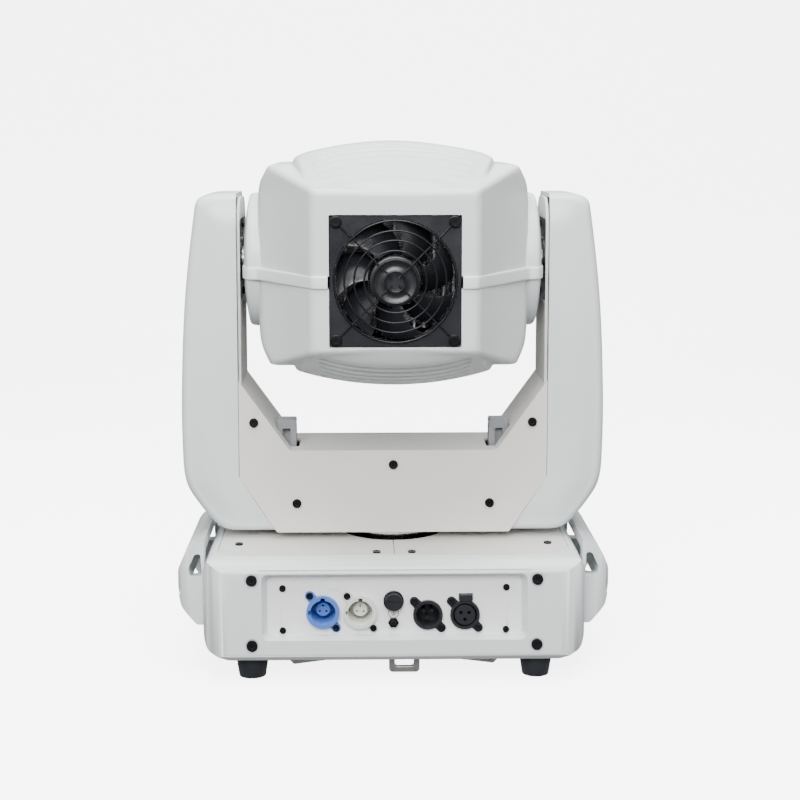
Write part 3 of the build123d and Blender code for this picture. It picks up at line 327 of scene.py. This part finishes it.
SLOT_OF = {part["node"]: part["material_slot"] for part in frame["record"]["subparts"]}
for node_name, node in frame["nodes"].items():
    node.data.materials.clear()
    node.data.materials.append(FINISHES[SLOT_OF[node_name]])


def soften(node_name, width_mm, segments=2, angle=32.0):
    """Broken edges on a CAD node: its loose triangles are welded, then its edges bevelled."""
    node = frame["nodes"][node_name]
    weld = node.modifiers.new("weld", "WELD")
    weld.merge_threshold = 1e-6
    broken = node.modifiers.new("broken edges", "BEVEL")
    broken.width = width_mm * MM
    broken.segments = segments
    broken.limit_method = "ANGLE"
    broken.angle_limit = math.radians(angle)
    broken.use_clamp_overlap = True
    broken.harden_normals = True


# ================= head shell =================
SHOULDERS = {
    "front": both_sides([(90, -75.5), (97.5, -66), (102, -53), (102, 53), (97.3, 65.7), (90, 74.5)]),
    "side": [(-130, -57), (-55, -76.2), (50, -76.3), (123, -60), (123, 60), (50, 75.3), (-55, 75.2), (-130, 57)],
    "plan": both_sides([(56.8, -130), (102, -45), (102, 48), (66.5, 123)]),
}
SPINE = {
    "front": both_sides([(0, -92.8), (36, -90), (54, -87), (70, -82.5), (76, -76), (76, 75), (70.5, 82),
                         (54, 86.6), (36, 89.8), (0, 92.6)]),
    "side": [(-130, -49), (-122, -65), (-80, -86), (-45, -93), (45, -93), (123, -66),
             (123, 66), (45, 93), (-45, 93), (-80, 86), (-122, 62), (-130, 40)],
    "plan": both_sides([(57.2, -130), (76, -50), (76, 50), (67, 123)]),
}


def form_planes(form):
    """Every flat of a form as (x, y, z, distance) from its front, side and plan outlines."""
    planes = []
    for view, axes in (("front", (0, 2)), ("side", (1, 2)), ("plan", (0, 1))):
        outline = form[view]
        for normal, distance in zip(*edge_planes(outline)):
            plane = [0.0, 0.0, 0.0, distance]
            plane[axes[0]] = normal[0]
            plane[axes[1]] = normal[1]
            planes.append(plane)
    return planes


def form_reach(form, angle, y, level, drop=0.0):
    """How far a form reaches from (0, y, level) at each angle of the x-z plane: the least of the distances
    to its flats, blended round where two flats meet. The flats that run straight across x sink by drop."""
    reach = np.full((len(y), len(angle)), 400.0)
    for nx, ny, nz, distance in form_planes(form):
        toward = nx * np.cos(angle) + nz * np.sin(angle)
        room = (distance - ny * y - nz * level)[:, None]
        if nx == 0:
            room = room - abs(nz) * drop
        this = np.where(toward > 1e-3, room / np.maximum(toward, 1e-3)[None, :], 400.0)
        reach = soft_low(reach, np.clip(this, 0, 400.0), CREASE)
    return reach


def head_reach(angle, y, level):
    """Reach of the shoulders and the spine together. The spine is crowned: it sinks with the square of x."""
    shoulders = form_reach(SHOULDERS, angle, y, level)
    across = form_reach(SPINE, angle, y, level) * np.cos(angle)
    crowned = form_reach(SPINE, angle, y, level, CROWN * (across / CROWN_X) ** 2)
    return soft_high(shoulders, crowned, STEP_SOFT)


def square_reach(angle, level):
    """Reach to the square fan opening."""
    c, s = np.cos(angle), np.sin(angle)
    flat_x = FAN_OPENING / np.maximum(np.abs(c), 1e-3)
    top = (FAN_Z - TILT_Z + FAN_OPENING - level) / np.maximum(s, 1e-3)
    low = (level - FAN_Z + TILT_Z + FAN_OPENING) / np.maximum(-s, 1e-3)
    return np.minimum(np.minimum(flat_x, np.where(s > 1e-3, top, 400.0)), np.where(s < -1e-3, low, 400.0))


def round_reach(angle, level, radius):
    """Reach to a circle about the light axis."""
    s = np.sin(angle)
    return -level * s + np.sqrt(radius ** 2 - (level * np.cos(angle)) ** 2)


def slot_depth(x, y, rises):
    """Depth of the vent slots: soft grooves across the spine that end in small deep holes."""
    depth = np.zeros_like(x)
    for index in range(SLOT_COUNT):
        centre = SLOT_FIRST_Y + index * SLOT_PITCH
        across = 1 - ease(np.abs(y - centre), 0.6, 2.4)
        groove = across * (1 - ease(np.abs(x), SLOT_HALF_X - 2, SLOT_HALF_X))
        hole = (1 - ease(np.abs(y - centre), 0.8, 1.6)) * (1 - ease(np.abs(np.abs(x) - SLOT_HALF_X), 0.6, 1.5))
        depth = depth + 2.3 * groove + 4.2 * hole
    pocket = 1 - ease(np.hypot(np.abs(x) - POCKET_X, (y - POCKET_Y) * 1.6), 2.6, 3.6)
    return (depth + 3.0 * pocket) * rises


def head_cover(name, upper):
    """Half of the head shell. Each row is a section across the head at one y, given by reach against angle
    about a point level with the seam. Rows run from the fan opening over the outside to the lens opening and
    back along the inside, so the wall is closed, and the two seam edges are capped flat."""
    level = (BAND_TOP if upper else BAND_LOW) - TILT_Z
    start = 0.0 if upper else -np.pi
    angle = start + np.linspace(0, np.pi, HEAD_COLUMNS)
    roll = EDGE_R * (1 - np.cos(np.linspace(0, np.pi / 2, 8)))
    slots_end = SLOT_FIRST_Y + SLOT_COUNT * SLOT_PITCH
    y = np.concatenate([
        HEAD_REAR + roll, np.arange(HEAD_REAR + EDGE_R + 1, slots_end, 0.62),
        np.arange(slots_end, HEAD_FRONT - EDGE_R - 0.5, 1.9), HEAD_FRONT - roll[::-1]])
    from_end = np.minimum(np.minimum(y - HEAD_REAR, HEAD_FRONT - y), EDGE_R)
    inset = EDGE_R - np.sqrt(np.maximum(EDGE_R ** 2 - (EDGE_R - from_end) ** 2, 0))
    reach = head_reach(angle, y, level) - inset[:, None]
    x = reach * np.cos(angle)
    rises = ease(np.abs(np.sin(angle)), 0.45, 0.6)[None, :]
    outside = reach - slot_depth(x, y[:, None] + 0 * x, rises)
    rear_hole = square_reach(angle, level)
    front_hole = round_reach(angle, level, LENS_OPENING)
    outside[0] = np.maximum(outside[0], rear_hole + 1.5)
    outside[-1] = np.maximum(outside[-1], front_hole + 0.6)
    lerp = np.array([0.02, 0.35, 0.7])[:, None]
    rear_face = rear_hole + (outside[0] - rear_hole) * lerp
    front_face = front_hole + (outside[-1] - front_hole) * lerp[::-1]
    inside_y = np.linspace(HEAD_FRONT - SHELL_WALL, HEAD_REAR + SHELL_WALL, 26)
    inside = np.maximum(head_reach(angle, inside_y, level) - SHELL_WALL - 1.5, 30.0)
    inside[0] = np.maximum(inside[0], front_hole + 0.3)
    inside[-1] = np.maximum(inside[-1], rear_hole + 0.8)
    rows = [(-114.0, rear_hole), (HEAD_REAR + 0.8, rear_hole)]
    rows += [(HEAD_REAR, row) for row in rear_face]
    rows += list(zip(y, outside))
    rows += [(HEAD_FRONT, row) for row in front_face]
    rows += [(HEAD_FRONT - 0.8, front_hole), (112.0, front_hole)]
    rows += list(zip(inside_y, inside))
    reach_all = np.array([row for _, row in rows])
    y_all = np.array([place for place, _ in rows])[:, None] + np.zeros((1, HEAD_COLUMNS))
    points = np.stack([reach_all * np.cos(angle), y_all, TILT_Z + level + reach_all * np.sin(angle)], -1)
    count = len(rows)
    faces = grid_faces(count, HEAD_COLUMNS, wrap_rows=True)
    faces += [[row * HEAD_COLUMNS for row in range(count)]]
    faces += [[row * HEAD_COLUMNS + HEAD_COLUMNS - 1 for row in range(count - 1, -1, -1)]]
    return put_mesh(name, points, faces, FINISHES["shell_white"], "head", "shell_white",
                    ["head_cover_top" if upper else "head_cover_bottom"])


def pod(name, side):
    """Round ear about the tilt axis: a profile of place and radius turned about X, with a soft rim and dome."""
    t = np.linspace(0, 1, 12)
    rim_x = 103.5 + 5.0 * np.sin(t * np.pi / 2)
    rim_r = POD_R - 2.2 + 2.2 * np.cos(t * np.pi / 2)
    dome_r = np.linspace(POD_R - 2.8, 0, 18)
    dome_x = 108.7 + (POD_X - 0.3 - 108.7) * (1 - (dome_r / (POD_R - 2.2)) ** 2.6)
    profile = [(72.0, 0.0), (72.0, POD_R)] + list(zip(rim_x, rim_r)) + list(zip(dome_x, dome_r))
    profile = [(side * x, radius) for x, radius in profile]
    points, faces = turned_profile(profile, 128, (0, 0, TILT_Z), "x")
    return put_mesh(name, points, faces, FINISHES["shell_white"], "head", "shell_white", ["head_cover_top"])


def seam_strip(name, side):
    """Strip over the seam, coloured lighter than the shell as a painted highlight of the light it catches: a
    rounded bar section carried along the plan outline of the head on one side, from the fan opening past the pod
    to the lens opening."""
    corners = np.array([
        (46.4, -128.0), (56.5, -128.0), (99.6, -51.5), (104.0, -51.5), (107.5, -50.0), (110.0, -45.0),
        (112.0, -36.0), (113.0, -22.0), (113.3, 0.0), (113.0, 22.0), (112.0, 36.0), (110.0, 45.0),
        (107.5, 50.0), (102.5, 51.5), (66.3, 122.0), (62.6, 122.0)])
    run = np.concatenate([[0], np.cumsum(np.hypot(*np.diff(corners, axis=0).T))])
    place = np.linspace(0, run[-1], 420)
    path = np.stack([np.interp(place, run, corners[:, 0]), np.interp(place, run, corners[:, 1])], 1)
    weights = np.hanning(15)
    weights /= weights.sum()
    padded = np.concatenate([np.repeat(path[:1], 7, 0), path, np.repeat(path[-1:], 7, 0)])
    path = np.stack([np.convolve(padded[:, axis], weights, "valid") for axis in (0, 1)], 1)
    along = np.gradient(path, axis=0)
    along /= np.linalg.norm(along, axis=1)[:, None]
    outward = np.stack([-along[:, 1], along[:, 0]], 1) * -1
    outward = np.where((outward * path).sum(1)[:, None] < 0, -outward, outward)
    turn = np.linspace(0, 2 * np.pi, 28, endpoint=False)
    half_z = (BAND_TOP - BAND_LOW) / 2
    bar_z = (BAND_LOW + BAND_TOP) / 2 + half_z * np.sign(np.sin(turn)) * np.abs(np.sin(turn)) ** 0.35
    proud = np.where(path[:, 0] > 108, 0.55, 1.7)
    proud = np.convolve(np.pad(proud, 7, mode="edge"), weights, "valid")
    bar_out = np.sign(np.cos(turn)) * np.abs(np.cos(turn)) ** 0.35
    out = np.where(bar_out[None, :] > 0, proud[:, None] * bar_out[None, :], 3.0 * bar_out[None, :])
    points = np.stack([
        side * (path[:, 0][:, None] + outward[:, 0][:, None] * out),
        path[:, 1][:, None] + outward[:, 1][:, None] * out,
        bar_z[None, :] + 0 * out], -1)
    faces = grid_faces(len(path), 28, wrap_columns=True)
    last = (len(path) - 1) * 28
    faces += [list(range(27, -1, -1)), list(range(last, last + 28))]
    return put_mesh(name, points, faces, FINISHES["trim_white"], "head", "trim_white", ["seam_band"])


head_cover("head_shell_top", True)
head_cover("head_shell_bottom", False)
for side, word in ((-1, "left"), (1, "right")):
    pod(f"tilt_pod_{word}", side)
    seam_strip(f"seam_strip_{word}", side)


# ================= fan =================
def blade(index):
    """One fan blade: a thin rounded section, swept back and twisted more at the root, carried out along the
    radius."""
    radius = np.linspace(HUB_R - 1.0, BLADE_TIP_R, 22)[:, None]
    turn = np.linspace(0, 2 * np.pi, 40, endpoint=False)[None, :]
    grow = (radius - HUB_R) / (BLADE_TIP_R - HUB_R)
    chord = 0.43 - 0.09 * grow
    sweep = 2 * np.pi * index / BLADES + 0.38 * grow ** 1.5
    angle = sweep + chord * np.cos(turn)
    pitch = 8.2 - 0.6 * grow
    thick = 0.85 - 0.3 * grow
    camber = 1.6 * (1 - np.cos(turn) ** 2) * (0.6 + 0.4 * grow)
    y = -115.6 - pitch * np.cos(turn) - camber + thick * np.sin(turn)
    y = np.clip(y, -123.6, -106.0)
    points = np.stack([radius * np.cos(angle), y + 0 * radius, FAN_Z + radius * np.sin(angle)], -1)
    faces = grid_faces(22, 40, wrap_columns=True)
    faces += [list(range(39, -1, -1)), list(range(21 * 40, 22 * 40))]
    return points.reshape(-1, 3), faces


def fan_hub():
    """Dished hub: its rear face has a raised rim and a shallow ring, turned about Y."""
    profile = [(-105.6, 0), (-105.6, 17.2), (-106.4, HUB_R), (-122.2, HUB_R), (-123.4, 17.6), (-124.0, 16.6),
               (-124.0, 14.6), (-123.4, 13.8), (-123.2, 9.0), (-123.6, 8.4), (-123.6, 6.6), (-123.1, 6.0),
               (-123.0, 0)]
    return turned_profile(profile, 72, (0, 0, FAN_Z), "y")


def fan_wheel():
    shapes = [fan_hub()] + [blade(index) for index in range(BLADES)]
    points, faces = joined(shapes)
    return put_mesh("fan_wheel", points, faces, FINISHES["plastic_black"], "fan_rotor", "plastic_black",
                    ["fan_rotor"])


def guard_ring(radius):
    turn = np.linspace(0, 2 * np.pi, 144, endpoint=False)
    path = np.stack([radius * np.cos(turn), np.full(144, HEAD_REAR - 1.0), FAN_Z + radius * np.sin(turn)], 1)
    return ring_tube(path, turn)


def ring_tube(path, turn):
    """Wire bent round a circle: the section circle stays in the plane of the axis and the radius."""
    radial = np.stack([np.cos(turn), 0 * turn, np.sin(turn)], 1)
    around = np.linspace(0, 2 * np.pi, 12, endpoint=False)
    points = path[:, None, :] + WIRE_R * (
        np.cos(around)[None, :, None] * radial[:, None, :]
        + np.sin(around)[None, :, None] * np.array([0.0, 1.0, 0.0]))
    return points.reshape(-1, 3), grid_faces(len(path), 12, wrap_rows=True, wrap_columns=True)


def guard_spoke(index):
    """Diagonal wire that dips to the corner of the frame and ends in a flat loop round its screw."""
    heading = math.radians(45 + 90 * index)
    reach = np.linspace(3.4, FAN_HOLE * math.sqrt(2) - 4.2, 60)
    dip = 0.3 + 0.5 * ease(reach, 43.0, 50.0)
    path = np.stack([reach * math.cos(heading), HEAD_REAR - 0.2 + dip * 0.6,
                     FAN_Z + reach * math.sin(heading)], 1)
    wire = tube(path, WIRE_R, 12, closed=False)
    turn = np.linspace(0, 2 * np.pi, 40, endpoint=False)
    centre = FAN_HOLE * math.sqrt(2)
    loop = np.stack([centre * math.cos(heading) + 3.6 * np.cos(turn), np.full(40, HEAD_REAR + 0.1),
                     FAN_Z + centre * math.sin(heading) + 3.6 * np.sin(turn)], 1)
    return [wire, ring_tube(loop, turn)]


def fan_guard():
    shapes = [guard_ring(radius) for radius in GUARD_RINGS]
    for index in range(4):
        shapes += guard_spoke(index)
    points, faces = joined(shapes)
    return put_mesh("fan_guard_wire", points, faces, FINISHES["screw_black"], "head", "screw_black",
                    ["fan_guard"])


fan_wheel()
fan_guard()


# ================= arm covers =================
COVER_OUTLINE = [(60, COVER_LOW), (130.5, COVER_LOW), (141, 107.6), (155.4, 127.5), (160.6, 136), (161.9, 150),
                 (159.3, 276), (156.4, 308), (151.4, 343), (149.4, 354), (143.5, COVER_TOP), (60, COVER_TOP)]


def cover_margin(x, z):
    """Distance of a point inside the front outline of the cover from that outline, round at its corners."""
    margin = np.full(np.broadcast(x, z).shape, 60.0)
    normals, distances = edge_planes(COVER_OUTLINE)
    for (nx, nz), distance in zip(normals, distances):
        if nx > -0.9:
            margin = soft_low(margin, distance - nx * x - nz * z, 7.0)
    return margin


def cover_outer_x(z):
    """Outer side of the cover at each height, by halving the span until the margin is nil."""
    low = np.full_like(z, 85.0)
    high = np.full_like(z, 170.0)
    for _ in range(32):
        middle = (low + high) / 2
        inside = cover_margin(middle, z) > 0
        low = np.where(inside, middle, low)
        high = np.where(inside, high, middle)
    return low


def cover_depth(margin):
    """Half depth of the cover: a round edge at the outline, a slanted facet, then the flat side."""
    margin = np.maximum(margin, 0)
    rolled = np.minimum(margin, 7.0)
    edge = 27.0 + 7.6 * np.sqrt(np.maximum(1 - (1 - rolled / 7.0) ** 2, 0))
    facet = 34.6 + (margin - 7.0) * 0.26
    return np.where(margin < 7.0, edge, soft_low(facet, np.full_like(margin, COVER_HALF_Y), 1.6))


def arm_cover(name, side):
    """Moulded cover of one arm. Each row is a horizontal section: from the inner edge along the rear side, over
    the outer face and back along the front side, then the same 3 mm further in. Rows go from foot to top."""
    fit = 0.5 - 0.5 * np.cos(np.linspace(0, np.pi, 15))
    z = np.concatenate([
        COVER_LOW + 12 * (1 - np.cos(np.linspace(0, np.pi / 2, 12))), np.arange(113.0, 344.0, 2.2),
        COVER_TOP - 12 * (1 - np.cos(np.linspace(0, np.pi / 2, 12)))[::-1]])
    foot = np.clip((z - COVER_LOW) / (COVER_KNEE_Z - COVER_LOW), 0, 1)
    inner_x = COVER_FOOT_X + (COVER_X - COVER_FOOT_X) * foot
    outer_x = np.maximum(cover_outer_x(z), inner_x + 6)
    f = np.concatenate([np.linspace(0, 0.5, 16)[:-1], 0.5 + 0.5 * np.sin(np.linspace(0, np.pi / 2, 30))])[None, :]
    x = inner_x[:, None] + (outer_x - inner_x)[:, None] * f
    depth = cover_depth(cover_margin(x, z[:, None]))
    wall_y = 1 - 2 * fit[None, 1:-1]
    columns_x = [x, np.repeat(x[:, -1:], 13, 1), x[:, ::-1]]
    columns_y = [-depth, -depth[:, -1:] * wall_y, depth[:, ::-1]]
    out_x, out_y = np.concatenate(columns_x, 1), np.concatenate(columns_y, 1)
    out_z = np.repeat(z[:, None], out_x.shape[1], 1)
    in_z = np.clip(z, COVER_LOW + 3, COVER_TOP - 3)
    in_foot = np.clip((in_z - COVER_LOW) / (COVER_KNEE_Z - COVER_LOW), 0, 1)
    in_left = COVER_FOOT_X + (COVER_X - COVER_FOOT_X) * in_foot
    in_right = np.maximum(cover_outer_x(in_z) - 4.0, in_left + 2)
    g = np.linspace(1, 0, 10)[None, :]
    in_x = in_left[:, None] + (in_right - in_left)[:, None] * g
    in_depth = np.minimum(cover_depth(cover_margin(in_x, in_z[:, None])) - 3.0, 34.0)
    order = slice(None, None, -1)
    back_x = np.concatenate([in_x[:, order], in_x], 1)
    back_y = np.concatenate([in_depth[:, order], -in_depth], 1)
    back_z = np.repeat(in_z[:, None], back_x.shape[1], 1)
    px = np.concatenate([out_x, back_x], 1)
    py = np.concatenate([out_y, back_y], 1)
    pz = np.concatenate([out_z, back_z], 1)
    width = px.shape[1]
    outer_count = out_x.shape[1]
    points = np.stack([side * px, py, pz], -1)
    faces = grid_faces(len(z), width, wrap_columns=True)
    for row in (0, len(z) - 1):
        first = row * width
        outer_ring = list(range(first, first + outer_count))
        inner_ring = list(range(first + outer_count, first + width))
        strip = [outer_ring[0], outer_ring[-1], inner_ring[0], inner_ring[-1]]
        caps = [outer_ring, inner_ring, strip]
        faces += [cap[::-1] if row == 0 else cap for cap in caps]
    return put_mesh(name, points, faces, FINISHES["shell_white"], "yoke", "shell_white",
                    ["arm_cover_right" if side > 0 else "arm_cover_left"], sharp=30.0)


arm_cover("arm_shell_left", -1)
arm_cover("arm_shell_right", 1)


# ================= earth mark =================
def earth_mark():
    """Printed ring with three bars and a stem, standing a hair above the panel."""
    x0, z0 = EARTH_MARK
    turn = np.linspace(0, 2 * np.pi, 72, endpoint=False)
    rings = []
    for y in (PANEL_Y + 0.1, PANEL_Y - 0.06):
        for radius in (EARTH_MARK_R, EARTH_MARK_R - 0.45):
            ring_y = np.full(72, y)
            rings.append(np.stack([x0 + radius * np.cos(turn), ring_y, z0 + radius * np.sin(turn)], 1))
    points = np.stack([rings[0], rings[2], rings[3], rings[1]])
    shapes = [(points, grid_faces(4, 72, wrap_rows=True, wrap_columns=True))]
    for cz, half_x, half_z in ((1.4, 0.22, 1.6), (-0.2, 2.2, 0.22), (-1.2, 1.4, 0.22), (-2.2, 0.7, 0.22)):
        corners = [(x0 + sx * half_x, y, z0 + cz + sz * half_z)
                   for y in (PANEL_Y + 0.1, PANEL_Y - 0.06) for sx, sz in ((-1, -1), (1, -1), (1, 1), (-1, 1))]
        sides = [[0, 1, 2, 3], [7, 6, 5, 4], [0, 4, 5, 1], [1, 5, 6, 2], [2, 6, 7, 3], [3, 7, 4, 0]]
        shapes.append((np.array(corners), sides))
    return put_mesh("earth_mark", *joined(shapes), FINISHES["plastic_black"], "base", "plastic_black",
                    sharp=20.0)


earth_mark()


# ================= broken edges on the CAD nodes =================
for node_name, width in (
        ("base_shell", 1.2), ("side_handles", 1.6), ("top_plates", 0.5), ("connector_panel", 0.4),
        ("yoke_frame", 0.6), ("cable_guides", 0.6), ("power_in_socket", 0.35), ("power_out_socket", 0.35),
        ("data_in_socket", 0.3), ("data_out_socket", 0.3), ("data_out_latch", 0.3), ("fuse_cap", 0.35),
        ("fuse_holder", 0.25), ("base_screws", 0.35), ("yoke_screws", 0.35), ("head_screws", 0.35), ("feet", 1.0),
        ("safety_eye", 0.6), ("omega_brackets", 0.4), ("display_bezel", 0.6),
        ("lens_barrel", 0.6), ("pan_shaft", 0.4), ("tilt_bearings", 0.3)):
    soften(node_name, width)


# ================= studio =================
FLOOR_GLOW = 5.0


def studio_floor():
    """Pale sweep: flat under the object, curving up behind it. It glows, and the object's own diffuse and
    glossy rays pass it by, so it stays bright without lighting the object from below."""
    u = np.linspace(-3.2, 3.2, 40)
    s = np.linspace(0, 1, 60)
    flat, bend = 3.4, 1.2
    y = -1.9 + np.minimum(s * 6.0, flat)
    turn = np.clip((s * 6.0 - flat) / (bend * np.pi / 2), 0, 1) * np.pi / 2
    y = y + bend * np.sin(turn)
    z = bend * (1 - np.cos(turn)) + np.maximum(s * 6.0 - flat - bend * np.pi / 2, 0)
    across = np.repeat(u[None, :], 60, 0)
    points = np.stack([across, np.repeat(y[:, None], 40, 1), np.repeat(z[:, None], 40, 1)], -1)
    finish = grained("matt studio paper", (0.90, 0.90, 0.90), 0.75, 3.0, 0.02, 0.004)
    paper = finish.node_tree.nodes["Principled BSDF"]
    paper.inputs["Emission Color"].default_value = (1.0, 1.0, 1.0, 1)
    paper.inputs["Emission Strength"].default_value = FLOOR_GLOW
    floor = put_mesh("studio_floor", points / MM, grid_faces(60, 40), finish, None, None)
    floor.visible_diffuse = False
    floor.visible_glossy = False


def softbox(name, place, aim, size, watts):
    lamp = bpy.data.lights.new(name, "AREA")
    lamp.shape = "RECTANGLE"
    lamp.size, lamp.size_y = size
    lamp.energy = watts
    holder = bpy.data.objects.new(name, lamp)
    bpy.context.scene.collection.objects.link(holder)
    reach = np.array(aim) - np.array(place)
    flat = math.hypot(reach[0], reach[1])
    holder.location = place
    holder.rotation_euler = (math.atan2(flat, -reach[2]), 0, math.atan2(-reach[0], reach[1]))


def studio_light():
    world = bpy.data.worlds.new("studio air")
    bpy.context.scene.world = world
    world.use_nodes = True
    air = world.node_tree.nodes["Background"]
    air.inputs["Color"].default_value = (0.97, 0.985, 1.0, 1)
    air.inputs["Strength"].default_value = 0.26
    softbox("overhead softbox", (0.0, -0.35, 1.9), (0, 0, 0.25), (1.6, 1.4), 72.0)
    softbox("front softbox", (-0.3, -2.3, 1.5), (0, 0, 0.3), (1.6, 1.2), 96.0)
    softbox("left softbox", (-1.6, -1.3, 0.9), (0, 0, 0.25), (1.0, 1.4), 9.0)
    softbox("right softbox", (1.6, -1.3, 0.9), (0, 0, 0.25), (1.0, 1.4), 9.0)
    softbox("far softbox", (0.3, 1.7, 1.3), (0, 0, 0.3), (1.4, 1.0), 14.0)


def camera():
    eye = bpy.data.cameras.new("camera")
    eye.lens = 73.1
    eye.sensor_width = 36.0
    eye.shift_y = -0.05
    holder = bpy.data.objects.new("camera", eye)
    bpy.context.scene.collection.objects.link(holder)
    holder.location = (-0.021, -1.25, 0.4004)
    holder.rotation_euler = (math.pi / 2 - math.radians(7.883), 0, math.radians(-1.234))
    bpy.context.scene.camera = holder


studio_floor()
studio_light()
camera()
